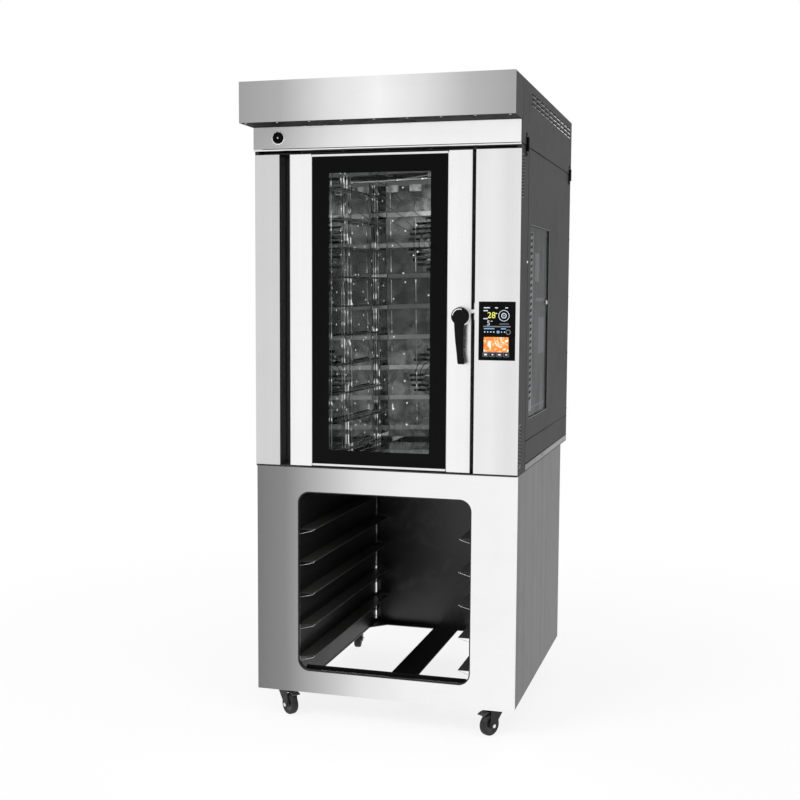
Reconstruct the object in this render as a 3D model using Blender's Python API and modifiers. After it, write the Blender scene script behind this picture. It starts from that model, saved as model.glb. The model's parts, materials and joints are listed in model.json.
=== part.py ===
"""Hot-air tray oven on a castored tray rack, modelled as separate working pieces.

Metres, +Z up. The front faces -Y and the origin is on the floor, at the middle of the outline.
"""
import math

import bmesh
import bpy
from mathutils import Matrix

# Driving sizes: the trays and how they are stacked
TRAY_WIDTH = 0.400
TRAY_LENGTH = 0.600
LEVELS = 10
LEVEL_PITCH = 0.1031
LEVEL_RISE = 0.018
LEVEL_HEAD = 0.0791
RACK_LEVELS = 5
RACK_LEVEL_PITCH = 0.1145
RACK_LEVEL_RISE = 0.043
RACK_LEVEL_HEAD = 0.142

# Driving sizes of the sheet metal and its gaps
SHEET = 0.002
SEAM = 0.003
SEAT = 0.0003
RUNNING = 0.0003
OVERCUT = 0.002

# Driving sizes of the casing
BODY_WIDTH = 0.935
REAR_SPACE = 0.2617
REAR_REACH = 0.030
HOOD_REACH = 0.130
HOOD_HEIGHT = 0.136
HOOD_FRONT_LAP = 0.003
HOOD_FRONT_SHEET = 0.003
HOOD_SHELL_LAP = 0.002
CHAMBER_RISE = 0.030
PANEL_RISE = 0.007
PANEL_HEAD = 0.028
LIP_RISE = 0.012
SEAM_RISE = 0.019
TOP_RISE = 0.229
PLINTH_HEIGHT = 0.107
FLOOR_SHEET = 0.003
POST_DEPTH = 0.138
POST_FLANGE = 0.014
PANEL_FLANGE = 0.022
FASCIA_PROUD = 0.009
FASCIA_SKIN = 0.0025
FASCIA_LIP_RADIUS = 0.0034
BUTTON_RADIUS = 0.0165
BUTTON_INSET = 0.090
BUTTON_RISE = 0.0435

# Driving sizes of the tray rack and its casters
RACK_INSET = 0.003
RACK_SETBACK = 0.003
RACK_REAR_SETBACK = 0.132
RACK_SILL = 0.078
RACK_LINTEL = 0.084
RACK_WINDOW_PLAY = 0.025
RACK_WINDOW_RADIUS = 0.043
RACK_FRAME_DEPTH = 0.028
RACK_WALL_PLAY = 0.036
RACK_RUNNER_WIDTH = 0.054
RACK_BAR_WIDTH = 0.104
RACK_FLANGE = 0.030
RACK_BACK_FLANGE = 0.020
BASE_SHEET = 0.003
CASTER_INSET_X = 0.0795
CASTER_INSET_Y = 0.075
CASTER_HEADROOM = 0.032
CASTER_TRAIL = 0.026
CASTER_PLATE = (0.096, 0.072, 0.003)
RACE_HEIGHT = 0.010
WHEEL_RADIUS = 0.0375
WHEEL_WIDTH = 0.027
AXLE_RADIUS = 0.004
FORK_SPREAD = 0.0185
FORK_SHEET = 0.0025
PEDAL_DROP = 0.005

# Driving sizes of the front
LEFT_PANEL_WIDTH = 0.0905
LEFT_RECESS = 0.039
SCREEN_SIZE = (0.1235, 0.195)
SCREEN_MARGINS = (0.01385, 0.01315)
SCREEN_DROP = 0.0485
SCREEN_LAP = 0.004
DOOR_THICKNESS = 0.0553
DOOR_GAP = 0.0125
DOOR_CLEARANCE = 0.0015
DOOR_HEAD_CLEARANCE = 0.001
STILE_WIDTH = 0.0805
LATCH_STILE_EXTRA = 0.002
GLASS_THICKNESS = 0.005
GLASS_LEDGE = 0.010
GLASS_BORDER = (0.04225, 0.03175)
INNER_GLASS_LAP = 0.012
HINGE_INSET = 0.016
HINGE_DEPTH = 0.022
HINGE_PIN_RADIUS = 0.005
HINGE_PIN_REACH = 0.012
BRACKET_SHEET = 0.0028
GASKET_RADIUS = 0.005
GASKET_MARGIN = 0.014
GASKET_PLAY = 0.0004
RETURN_SETBACK = 0.006
HANDLE_INSET = 0.0325
HANDLE_DROP = 0.01025
HANDLE_REACH = 0.160
HANDLE_PROUD = 0.034
ROSE_THICKNESS = 0.008
BOSS_RADIUS = 0.030
SHAFT_RADIUS = 0.005
SHAFT_DEPTH = 0.038
BOLT_RISE = 0.016
BOLT_SIZE = (0.011, 0.012)

# Driving sizes of the baking chamber
CHAMBER_SIDE_PLAY = 0.020
CHAMBER_OFFSET = 0.00175
LADDER_FRONT_GAP = 0.0317
LADDER_REAR_GAP = 0.025
LADDER_EXTRA = 0.010
UPRIGHT = 0.008
RUNNER_WIDTH = 0.034
BAFFLE_SPACE = 0.1233
BAFFLE_MARGIN = 0.030
BAFFLE_END_GAP = 0.012
STRIPS = 9
STRIP_HEIGHT = 0.017
STRIP_PROUD = 0.004
STRIP_RISE = 0.049
STRIP_HEAD = 0.024
FAN_RADIUS = 0.135
FAN_BLADES = 9
FAN_DEPTH = 0.045
FAN_RISE = 0.255
FAN_DROP = 0.260
FAN_SHAFT_RADIUS = 0.007
INLET_MARGIN = 0.030
MOTOR_RADIUS = 0.062
MOTOR_LENGTH = 0.150
HEATER_RADIUS = 0.004
HEATER_GAP = 0.012
HEATER_TAIL = 0.020
WOOL_THICKNESS = 0.060
WOOL_HEAD = 0.040
LAMP_SIZE = (0.130, 0.080, 0.016)

# Driving sizes of the side window and the rear
WINDOW_START = 0.195
WINDOW_LENGTH = 0.395
WINDOW_RISE = 0.180
WINDOW_HEIGHT = 0.665
WINDOW_LAP = 0.010
WINDOW_GLASS = 0.004
GLAND_INSET = 0.1175
GLAND_RISE = 0.170
GLAND_RADIUS = 0.014
GLAND_BORE_RADIUS = 0.0055
GLAND_WALL = 0.004

# Worked out from the driving sizes: heights, from the floor up
RACK_FOOT = 2 * WHEEL_RADIUS + CASTER_HEADROOM - SHEET
RACK_WINDOW_FOOT = RACK_FOOT + RACK_SILL
RACK_LEVEL_FIRST = RACK_WINDOW_FOOT + RACK_LEVEL_RISE
RACK_WINDOW_TOP = RACK_LEVEL_FIRST + (RACK_LEVELS - 1) * RACK_LEVEL_PITCH + RACK_LEVEL_HEAD
RACK_TOP = RACK_WINDOW_TOP + RACK_LINTEL
OVEN_FOOT = RACK_TOP + SEAT
FLOOR_TOP = OVEN_FOOT + FLOOR_SHEET
PANEL_FOOT = RACK_TOP + PANEL_RISE
PLINTH_TOP = RACK_TOP + PLINTH_HEIGHT
CHAMBER_FOOT = RACK_TOP + CHAMBER_RISE
LEVEL_FIRST = CHAMBER_FOOT + LEVEL_RISE
CHAMBER_TOP = LEVEL_FIRST + (LEVELS - 1) * LEVEL_PITCH + LEVEL_HEAD
PANEL_TOP = CHAMBER_TOP + PANEL_HEAD
FASCIA_LIP = PANEL_TOP + LIP_RISE
CASING_SEAM = PANEL_TOP + SEAM_RISE
OVEN_TOP = PANEL_TOP + TOP_RISE
CANOPY_FOOT = OVEN_TOP - HOOD_HEIGHT
DOOR_TOP = PANEL_TOP - DOOR_HEAD_CLEARANCE
DOOR_FOOT = PANEL_FOOT + DOOR_CLEARANCE
HANDLE_HEIGHT = (DOOR_FOOT + DOOR_TOP) / 2 - HANDLE_DROP
BOLT_HEIGHT = HANDLE_HEIGHT + BOLT_RISE
SCREEN_HEIGHT = HANDLE_HEIGHT - SCREEN_DROP
FAN_HEIGHTS = {"upper": CHAMBER_TOP - FAN_DROP, "lower": CHAMBER_FOOT + FAN_RISE}
STRIP_FIRST = CHAMBER_FOOT + STRIP_RISE
STRIP_PITCH = (CHAMBER_TOP - STRIP_HEAD - STRIP_FIRST) / (STRIPS - 1)
WINDOW_FOOT = RACK_TOP + WINDOW_RISE

# Depths, from the front back
LADDER_LENGTH = TRAY_LENGTH + LADDER_EXTRA
CHAMBER_DEPTH = LADDER_FRONT_GAP + LADDER_LENGTH + LADDER_REAR_GAP + BAFFLE_SPACE
BULKHEAD_DEPTH = DOOR_THICKNESS + GASKET_PLAY + 2 * GASKET_RADIUS + SEAT
BODY_DEPTH = BULKHEAD_DEPTH + SHEET + SEAT + CHAMBER_DEPTH + REAR_SPACE
FRONT = -(HOOD_REACH + BODY_DEPTH + REAR_REACH) / 2
PANEL = FRONT + HOOD_REACH
BACK = PANEL + BODY_DEPTH
BULKHEAD = PANEL + BULKHEAD_DEPTH
DOOR_BACK = PANEL + DOOR_THICKNESS
RETURN_END = BULKHEAD - RETURN_SETBACK
LINER_START = BULKHEAD + SHEET + SEAT
LINER_END = LINER_START + CHAMBER_DEPTH
LADDER_START = LINER_START + LADDER_FRONT_GAP
BAFFLE_FACE = LINER_END - BAFFLE_SPACE
SIDE_START = PANEL + POST_DEPTH + SEAM
SIDE_END = BACK - SHEET - SEAT
RACK_FRONT = PANEL + RACK_SETBACK
RACK_BACK = BACK - RACK_REAR_SETBACK
RACK_WALLS_START = RACK_FRONT + RACK_FRAME_DEPTH + SEAT

# Places across the width
HALF = BODY_WIDTH / 2
HOOD_HALF = HALF + HOOD_SHELL_LAP
RACK_HALF = HALF - RACK_INSET
RACK_WALL_HALF = (TRAY_LENGTH + RACK_WALL_PLAY) / 2
RACK_WINDOW_HALF = (TRAY_LENGTH + RACK_WINDOW_PLAY) / 2
LEFT_PANEL_EDGE = LEFT_PANEL_WIDTH - HALF
COLUMN_LEFT = HALF - SCREEN_SIZE[0] - sum(SCREEN_MARGINS)
SCREEN_X = COLUMN_LEFT + SCREEN_MARGINS[0] + SCREEN_SIZE[0] / 2
DOOR_LEFT = LEFT_PANEL_EDGE + LEFT_RECESS
DOOR_RIGHT = COLUMN_LEFT - DOOR_GAP
HINGE_X = DOOR_LEFT + HINGE_INSET
HINGE_Y = PANEL + HINGE_DEPTH
HANDLE_X = DOOR_RIGHT - HANDLE_INSET
GLASS_LEFT = DOOR_LEFT + STILE_WIDTH
GLASS_RIGHT = DOOR_RIGHT - STILE_WIDTH - LATCH_STILE_EXTRA
GLASS_FOOT = DOOR_FOOT + GLASS_LEDGE
GLASS_TOP = DOOR_TOP - GLASS_LEDGE
VIEW_LOW = (GLASS_LEFT + GLASS_BORDER[0], GLASS_FOOT + GLASS_BORDER[1])
VIEW_HIGH = (GLASS_RIGHT - GLASS_BORDER[0], GLASS_TOP - GLASS_BORDER[1])
CHAMBER_CENTRE = (GLASS_LEFT + GLASS_RIGHT) / 2 + CHAMBER_OFFSET
CHAMBER_WIDTH = TRAY_WIDTH + 2 * CHAMBER_SIDE_PLAY
CHAMBER_LEFT = CHAMBER_CENTRE - CHAMBER_WIDTH / 2
CHAMBER_RIGHT = CHAMBER_CENTRE + CHAMBER_WIDTH / 2
BUTTON_CENTRE = (-HALF + BUTTON_INSET, FASCIA_LIP + BUTTON_RISE)
GLAND_PLACE = (HALF - GLAND_INSET, RACK_TOP + GLAND_RISE)
ROUND_SIDES = 24

PARTS = "TrayOven"
CUTTERS = "Cutters"

FINISHES = {
    "stainless": ((0.72, 0.72, 0.72), 0.28, 1.0),
    "mirror steel": ((0.80, 0.80, 0.80), 0.12, 1.0),
    "dark paint": ((0.090, 0.092, 0.090), 0.45, 0.0),
    "rack steel": ((0.55, 0.55, 0.55), 0.35, 1.0),
    "black plastic": ((0.012, 0.012, 0.012), 0.35, 0.0),
    "black steel": ((0.020, 0.020, 0.020), 0.40, 0.6),
    "rubber": ((0.018, 0.018, 0.018), 0.70, 0.0),
    "zinc": ((0.62, 0.62, 0.60), 0.30, 1.0),
    "door glass": ((0.05, 0.055, 0.055), 0.03, 0.0),
    "silicone": ((0.030, 0.028, 0.026), 0.60, 0.0),
    "wool": ((0.55, 0.50, 0.35), 0.95, 0.0),
    "cast aluminium": ((0.50, 0.51, 0.52), 0.45, 1.0),
    "lamp glass": ((0.85, 0.85, 0.80), 0.15, 0.0),
}

AXIS_TURNS = {
    "X": Matrix(((0, 0, 1), (1, 0, 0), (0, 1, 0))).to_4x4(),
    "Y": Matrix(((1, 0, 0), (0, 0, -1), (0, 1, 0))).to_4x4(),
    "Z": Matrix.Identity(4),
}


# Scene and naming helpers

def clear_scene():
    for item in list(bpy.data.objects):
        bpy.data.objects.remove(item, do_unlink=True)


def collection(name):
    found = bpy.data.collections.get(name)
    if found is None:
        found = bpy.data.collections.new(name)
        bpy.context.scene.collection.children.link(found)
    return found


def finish_material(finish):
    found = bpy.data.materials.get(finish)
    if found is None:
        color, roughness, metallic = FINISHES[finish]
        found = bpy.data.materials.new(finish)
        found.use_nodes = True
        shader = found.node_tree.nodes["Principled BSDF"]
        shader.inputs["Base Color"].default_value = (*color, 1.0)
        shader.inputs["Roughness"].default_value = roughness
        shader.inputs["Metallic"].default_value = metallic
    return found


def add_object(name, mesh, finish):
    """Link a mesh as a part, or as a hidden cutter when it has no finish."""
    item = bpy.data.objects.new(name, mesh)
    if finish is None:
        collection(CUTTERS).objects.link(item)
        item.hide_render = True
        item.display_type = 'WIRE'
    else:
        collection(PARTS).objects.link(item)
        mesh.materials.append(finish_material(finish))
    return item


def smooth(item, angle=math.radians(35)):
    item.data.shade_smooth()
    item.data.set_sharp_from_angle(angle=angle)
    return item


def bevel(item, width, segments=2):
    """Round the edges that turn by more than 40 degrees."""
    modifier = item.modifiers.new("Edges", 'BEVEL')
    modifier.width = width
    modifier.segments = segments
    modifier.limit_method = 'ANGLE'
    modifier.angle_limit = math.radians(40)
    return item


def combine(item, tool, operation):
    modifier = item.modifiers.new(operation.title(), 'BOOLEAN')
    modifier.operation = operation
    modifier.solver = 'EXACT'
    modifier.object = tool
    return item


def cut(item, *tools):
    for tool in tools:
        combine(item, tool, 'DIFFERENCE')
    return item


def weld(item, *pieces):
    for piece in pieces:
        combine(item, piece, 'UNION')
    return item


# Outlines, as lists of points in a sheet's own plane

def rectangle(low_a, low_b, high_a, high_b):
    return [(low_a, low_b), (high_a, low_b), (high_a, high_b), (low_a, high_b)]


def arc(centre, radius, start, stop, steps):
    """Points of an arc, both ends included; angles in degrees."""
    points = []
    for step in range(steps + 1):
        angle = math.radians(start + (stop - start) * step / steps)
        points.append((centre[0] + radius * math.cos(angle), centre[1] + radius * math.sin(angle)))
    return points


def circle(centre, radius, sides=ROUND_SIDES):
    return arc(centre, radius, 0, 360 - 360 / sides, sides - 1)


def rounded(low_a, low_b, high_a, high_b, radius, steps=5):
    corners = [((high_a - radius, high_b - radius), 0), ((low_a + radius, high_b - radius), 90),
               ((low_a + radius, low_b + radius), 180), ((high_a - radius, low_b + radius), 270)]
    points = []
    for centre, start in corners:
        points += arc(centre, radius, start, start + 90, steps)
    return points


# Solids

def prism(name, loops, axis, start, stop, finish):
    """Extrude an outline (first loop) with holes (other loops) along X, Y or Z.

    Outlines are (y, z) along X, (x, z) along Y and (x, y) along Z.
    """
    curve = bpy.data.curves.new(name, 'CURVE')
    curve.dimensions = '2D'
    curve.fill_mode = 'BOTH'
    curve.extrude = (stop - start) / 2
    for loop in loops:
        spline = curve.splines.new('POLY')
        spline.points.add(len(loop) - 1)
        for point, (a, b) in zip(spline.points, loop):
            point.co = (a, b, 0.0, 1.0)
        spline.use_cyclic_u = True
    middle = (start + stop) / 2
    offset = {"X": (middle, 0, 0), "Y": (0, middle, 0), "Z": (0, 0, middle)}[axis]
    return solid_from_curve(name, curve, Matrix.Translation(offset) @ AXIS_TURNS[axis], finish)


def solid_from_curve(name, curve, placement, finish):
    """Turn a curve into a welded mesh with its place in the mesh."""
    guide = bpy.data.objects.new(name + " guide", curve)
    bpy.context.scene.collection.objects.link(guide)
    graph = bpy.context.evaluated_depsgraph_get()
    mesh = bpy.data.meshes.new_from_object(guide.evaluated_get(graph))
    mesh.name = name
    bpy.data.objects.remove(guide, do_unlink=True)
    form = bmesh.new()
    form.from_mesh(mesh)
    bmesh.ops.remove_doubles(form, verts=form.verts, dist=0.00002)
    bmesh.ops.transform(form, matrix=placement, verts=form.verts)
    bmesh.ops.recalc_face_normals(form, faces=form.faces)
    form.to_mesh(mesh)
    form.free()
    mesh.materials.clear()
    return add_object(name, mesh, finish)


def boxes(name, spans, finish=None):
    """One or more boxes in one mesh; each span is a lowest and a highest corner."""
    form = bmesh.new()
    for low, high in spans:
        size = [b - a for a, b in zip(low, high)]
        centre = [(a + b) / 2 for a, b in zip(low, high)]
        place = Matrix.Translation(centre) @ Matrix.Diagonal((*size, 1.0))
        bmesh.ops.create_cube(form, size=1.0, matrix=place)
    mesh = bpy.data.meshes.new(name)
    form.to_mesh(mesh)
    form.free()
    return add_object(name, mesh, finish)


def box(name, low, high, finish=None):
    return boxes(name, [(low, high)], finish)


def rods(name, axis, places, radius, start, stop, finish=None, sides=ROUND_SIDES):
    """Round bars side by side along one axis; places are outline points as in prism."""
    form = bmesh.new()
    turn = AXIS_TURNS[axis]
    for a, b in places:
        place = turn @ Matrix.Translation((a, b, -(start + stop) / 2 if axis == "Y" else (start + stop) / 2))
        bmesh.ops.create_cone(form, cap_ends=True, segments=sides, radius1=radius, radius2=radius,
                              depth=stop - start, matrix=place)
    mesh = bpy.data.meshes.new(name)
    form.to_mesh(mesh)
    form.free()
    return smooth(add_object(name, mesh, finish))


def rod(name, axis, place, radius, start, stop, finish=None, sides=ROUND_SIDES):
    return rods(name, axis, [place], radius, start, stop, finish, sides)


def turned(name, profile, finish, closed=False, steps=ROUND_SIDES):
    """Turn a profile of (radius, height) points, outer side running downwards, about local Z."""
    form = bmesh.new()
    points = [form.verts.new((radius, 0.0, height)) for radius, height in profile]
    for first, second in zip(points, points[1:]):
        form.edges.new((first, second))
    if closed:
        form.edges.new((points[-1], points[0]))
    mesh = bpy.data.meshes.new(name)
    form.to_mesh(mesh)
    form.free()
    item = add_object(name, mesh, finish)
    screw = item.modifiers.new("Turn", 'SCREW')
    screw.steps = steps
    screw.render_steps = steps
    screw.use_merge_vertices = True
    screw.merge_threshold = 0.00005
    screw.use_smooth_shade = True
    return item


def tube(name, points, radius, finish, cyclic=False, resolution=2):
    """A round wire or tube through points, with filled ends."""
    curve = bpy.data.curves.new(name, 'CURVE')
    curve.dimensions = '3D'
    curve.bevel_depth = radius
    curve.bevel_resolution = resolution
    curve.use_fill_caps = True
    spline = curve.splines.new('POLY')
    spline.points.add(len(points) - 1)
    for point, place in zip(spline.points, points):
        point.co = (*place, 1.0)
    spline.use_cyclic_u = cyclic
    return smooth(solid_from_curve(name, curve, Matrix.Identity(4), finish))


# Tray rack

def rack_front_frame():
    """Folded face of the rack with a rounded window and turned-in edges."""
    half_window = RACK_WINDOW_HALF
    low, high = RACK_WINDOW_FOOT, RACK_WINDOW_TOP
    window = rounded(-half_window, low, half_window, high, RACK_WINDOW_RADIUS)
    outline = rectangle(-RACK_HALF, RACK_FOOT, RACK_HALF, RACK_TOP)
    face = prism("rack_front_frame", [outline, window], "Y", RACK_FRONT, RACK_FRONT + SHEET, "stainless")
    edge_hole = rectangle(-RACK_HALF + SHEET, RACK_FOOT + SHEET, RACK_HALF - SHEET, RACK_TOP - SHEET)
    inner = RACK_FRONT + SHEET / 2
    deep = RACK_FRONT + RACK_FRAME_DEPTH
    edge = prism("rack front edge", [outline, edge_hole], "Y", inner, deep, None)
    lip_outline = rounded(-half_window - SHEET, low - SHEET, half_window + SHEET, high + SHEET,
                          RACK_WINDOW_RADIUS + SHEET)
    lip = prism("rack window lip", [lip_outline, window], "Y", inner, deep - 0.004, None)
    return weld(face, edge, lip)


def channel(low_a, high_a, low_b, high_b, opening, sheet=SHEET):
    """Outline of a U-shaped fold; opening names the side that is open, such as '+a'."""
    inner = [low_a + sheet, high_a - sheet, low_b + sheet, high_b - sheet]
    if opening == "+a":
        return [(low_a, low_b), (high_a, low_b), (high_a, inner[2]), (inner[0], inner[2]),
                (inner[0], inner[3]), (high_a, inner[3]), (high_a, high_b), (low_a, high_b)]
    if opening == "-a":
        return [(high_a, high_b), (low_a, high_b), (low_a, inner[3]), (inner[1], inner[3]),
                (inner[1], inner[2]), (low_a, inner[2]), (low_a, low_b), (high_a, low_b)]
    if opening == "+b":
        return [(low_a, high_b), (low_a, low_b), (high_a, low_b), (high_a, high_b),
                (inner[1], high_b), (inner[1], inner[2]), (inner[0], inner[2]), (inner[0], high_b)]
    return [(high_a, low_b), (high_a, high_b), (low_a, high_b), (low_a, low_b),
            (inner[0], low_b), (inner[0], inner[3]), (inner[1], inner[3]), (inner[1], low_b)]


def rack_sides():
    top = RACK_TOP - SHEET - SEAT
    left = channel(-RACK_HALF, -RACK_HALF + RACK_FLANGE, RACK_FOOT, top, "+a")
    right = channel(RACK_HALF - RACK_FLANGE, RACK_HALF, RACK_FOOT, top, "-a")
    prism("rack_side_left", [left], "Y", RACK_WALLS_START, RACK_BACK, "rack steel")
    prism("rack_side_right", [right], "Y", RACK_WALLS_START, RACK_BACK, "rack steel")


def rack_back_panel():
    """Folded rear sheet that stands between the side sheets on the base frame."""
    low = RACK_FOOT + SHEET + BASE_SHEET + 2 * SEAT
    start = RACK_BACK - RACK_BACK_FLANGE
    outline = channel(start, RACK_BACK, low, RACK_TOP - 2 * SHEET - 2 * SEAT, "-a")
    edge = RACK_HALF - SHEET - SEAT
    item = prism("rack_back_panel", [outline], "X", -edge, edge, "rack steel")
    relief = RACK_HALF - RACK_FLANGE - SEAT
    near, far = start - OVERCUT, RACK_BACK + OVERCUT
    foot = RACK_TOP - 4 * SHEET
    trim = boxes("rack back trim", [((-RACK_HALF, near, foot), (-relief, far, RACK_TOP)),
                                    ((relief, near, foot), (RACK_HALF, far, RACK_TOP))])
    return cut(item, trim)


def rack_top_panel():
    return box("rack_top_panel", (-RACK_HALF, RACK_WALLS_START, RACK_TOP - SHEET),
               (RACK_HALF, RACK_BACK, RACK_TOP), "rack steel")


def rack_base_frame():
    """Flat ring with gusseted corners and one wide bar from front to back."""
    low = RACK_FOOT + SHEET + SEAT
    edge = RACK_HALF - SHEET - SEAT
    start = RACK_WALLS_START
    stop = RACK_BACK - SEAT
    inner = RACK_WALL_HALF - SHEET
    bar = RACK_BAR_WIDTH / 2
    outline = rectangle(-edge, start, edge, stop)
    hole_start, hole_stop, gusset = start + 0.030, stop - 0.055, 0.060
    left = [(-inner, hole_start + gusset), (-inner + gusset, hole_start), (-bar, hole_start),
            (-bar, hole_stop), (-inner + gusset, hole_stop), (-inner, hole_stop - gusset)]
    right = [(-a, b) for a, b in left]
    return prism("rack_base_frame", [outline, left, right], "Z", low, low + BASE_SHEET, "rack steel")


def rack_runners():
    """Inner walls with angled tray runners, each wall one folded and welded piece."""
    low = RACK_FOOT + SHEET + BASE_SHEET + 2 * SEAT
    top = RACK_TOP - 2 * SHEET - 2 * SEAT
    wall = RACK_WALL_HALF
    tip = wall - RACK_RUNNER_WIDTH
    outline = [(wall + SHEET, low), (wall + SHEET, top), (wall, top)]
    for level in reversed(range(RACK_LEVELS)):
        height = RACK_LEVEL_FIRST + level * RACK_LEVEL_PITCH
        outline += [(wall, height + SHEET), (tip, height + SHEET), (tip, height), (wall, height)]
    outline.append((wall, low))
    start = RACK_WALLS_START
    stop = RACK_BACK - RACK_BACK_FLANGE - SEAT
    mirrored = [(-a, b) for a, b in outline]
    prism("rack_runners_right", [outline], "Y", start, stop, "black steel")
    prism("rack_runners_left", [mirrored], "Y", start, stop, "black steel")


# Casters

def caster(label, x, y, heading, braked):
    """Swivel caster; heading is the direction in which its wheel trails, in degrees from +X."""
    length, width, thick = CASTER_PLATE
    top = RACK_FOOT + SHEET
    plate = box("caster_plate_" + label, (x - length / 2, y - width / 2, top - thick),
                (x + length / 2, y + width / 2, top), "zinc")
    race_foot = top - thick - RACE_HEIGHT
    weld(plate, rod("caster race " + label, "Z", (x, y), 0.022, race_foot, top - thick / 2))
    crown_top = race_foot - SEAT
    crown_foot = crown_top - 0.003
    outer = FORK_SPREAD + FORK_SHEET
    crown_side = outer - 0.0005
    fork = box("caster_fork_" + label, (-0.022, -crown_side, crown_foot), (0.037, crown_side, crown_top),
               "black steel")
    leg = [(-0.0205, crown_top - 0.0006), (-0.0205, crown_foot - 0.010), (0.014, WHEEL_RADIUS + 0.002)]
    leg += arc((CASTER_TRAIL, WHEEL_RADIUS), 0.012, 190, 350, 6)
    leg += [(0.040, WHEEL_RADIUS + 0.016), (0.0355, crown_top - 0.0006)]
    near = prism("fork leg near " + label, [leg], "Y", -outer, -FORK_SPREAD, None)
    far = prism("fork leg far " + label, [leg], "Y", FORK_SPREAD, outer, None)
    axle = rod("fork axle " + label, "Y", (CASTER_TRAIL, WHEEL_RADIUS), AXLE_RADIUS,
               -outer - 0.003, outer + 0.003, sides=12)
    turn = Matrix.Translation((x, y, 0)) @ Matrix.Rotation(math.radians(heading), 4, 'Z')
    for piece in (fork, near, far, axle):
        piece.matrix_world = turn
    weld(fork, near, far, axle)
    wheel = caster_wheel("caster_wheel_" + label)
    wheel.parent = fork
    wheel.location = (CASTER_TRAIL, 0.0, WHEEL_RADIUS)
    wheel.rotation_euler = (math.radians(90), 0.0, 0.0)
    if braked:
        brake_pedal(label, fork, crown_foot)


def caster_wheel(name):
    """Wheel with a rounded tread, a dished web and a long hub, turned about its axle."""
    half, hub, bore = WHEEL_WIDTH / 2, FORK_SPREAD - 0.001, AXLE_RADIUS + RUNNING
    tread = WHEEL_RADIUS
    profile = [(bore, hub), (0.010, hub), (0.011, half - 0.003), (tread - 0.012, half - 0.003),
               (tread - 0.010, half), (tread - 0.003, half), (tread, half - 0.005),
               (tread, 0.005 - half), (tread - 0.003, -half), (tread - 0.010, -half),
               (tread - 0.012, 0.003 - half), (0.011, 0.003 - half), (0.010, -hub), (bore, -hub)]
    return turned(name, profile, "rubber", closed=True, steps=20)


def brake_pedal(label, fork, crown_foot):
    """Foot pedal on a cross pin between the fork's legs, over the wheel."""
    pin_place = (CASTER_TRAIL + 0.004, crown_foot - PEDAL_DROP)
    reach = FORK_SPREAD - SEAT
    pedal = rod("caster_brake_" + label, "Y", (0, 0), 0.003, -reach, reach, "black plastic", sides=12)
    blade = [(-0.001, -0.002), (0.020, -0.002), (0.038, -0.008), (0.040, -0.004), (0.022, 0.002),
             (-0.001, 0.002)]
    tread = prism("brake blade " + label, [blade], "Y", -0.015, 0.015, None)
    pedal.parent = fork
    tread.parent = fork
    pedal.location = (pin_place[0], 0.0, pin_place[1])
    tread.location = pedal.location
    weld(pedal, tread)


def casters():
    front, rear = RACK_FRONT + CASTER_INSET_Y, RACK_BACK - CASTER_INSET_Y
    side = RACK_HALF - CASTER_INSET_X
    caster("front_left", -side, front, -38, True)
    caster("front_right", side, front, -122, True)
    caster("rear_left", -side, rear, 100, False)
    caster("rear_right", side, rear, 80, False)


# Oven casing

def base_plinth():
    """Floor pan with upstanding skirts along both sides."""
    outline = channel(-HALF, HALF, OVEN_FOOT, PLINTH_TOP - SEAM, "+b")
    pan = prism("base_plinth", [outline], "Y", SIDE_START, SIDE_END, "dark paint")
    floor = box("front floor", (-HALF, PANEL + 0.004, OVEN_FOOT), (HALF, SIDE_START + 0.050, FLOOR_TOP))
    return weld(pan, floor)


def posts():
    """Dark corner posts behind the front panels; the right one is vented."""
    low, high = FLOOR_TOP + SEAT, CASING_SEAM - SEAM
    start, stop = PANEL + SHEET + SEAT, PANEL + POST_DEPTH
    left = channel(-HALF, -HALF + POST_FLANGE, start, stop, "+a")
    right = channel(HALF - POST_FLANGE, HALF, start, stop, "-a")
    prism("front_post_left", [left], "Z", low, high, "dark paint")
    post = prism("front_post_right", [right], "Z", low, high, "dark paint")
    cut(post, vent_slots(), vent_holes())


def vent_slots():
    """Thirteen short level slots high in the right post."""
    count, pitch, first, height = 13, 0.0106, CASING_SEAM - 0.1715, 0.005
    near, far = PANEL + 0.010, PANEL + 0.046
    spans = []
    for step in range(count):
        low = first + step * pitch
        spans.append(((HALF - SHEET - OVERCUT, near, low), (HALF + OVERCUT, far, low + height)))
    return boxes("post slots", spans)


def vent_holes():
    """Two staggered columns of round holes low in the right post."""
    pitch, spread, first = 0.0122, 0.014, RACK_TOP + 0.035
    places = []
    for step in range(11):
        for column in range(2):
            places.append((PANEL + spread * (1 + column), first + pitch * (step + column / 2)))
    return rods("post holes", "X", places, 0.0036, HALF - SHEET - OVERCUT, HALF + OVERCUT, sides=8)


def side_panels():
    low, high = PLINTH_TOP, CASING_SEAM - SEAM
    left = channel(-HALF, -HALF + PANEL_FLANGE, SIDE_START, SIDE_END, "+a")
    right = channel(HALF - PANEL_FLANGE, HALF, SIDE_START, SIDE_END, "-a")
    prism("side_panel_left", [left], "Z", low, high, "dark paint")
    panel = prism("side_panel_right", [right], "Z", low, high, "dark paint")
    view = box("side view cut", (HALF - SHEET - OVERCUT, PANEL + WINDOW_START, WINDOW_FOOT),
               (HALF + OVERCUT, PANEL + WINDOW_START + WINDOW_LENGTH, WINDOW_FOOT + WINDOW_HEIGHT))
    cut(panel, view)


def side_window():
    """Glass laid behind the opening of the right side panel."""
    inner = HALF - SHEET - SEAT
    start = PANEL + WINDOW_START
    return box("side_window_glass", (inner - WINDOW_GLASS, start - WINDOW_LAP, WINDOW_FOOT - WINDOW_LAP),
               (inner, start + WINDOW_LENGTH + WINDOW_LAP, WINDOW_FOOT + WINDOW_HEIGHT + WINDOW_LAP),
               "door glass")


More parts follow.
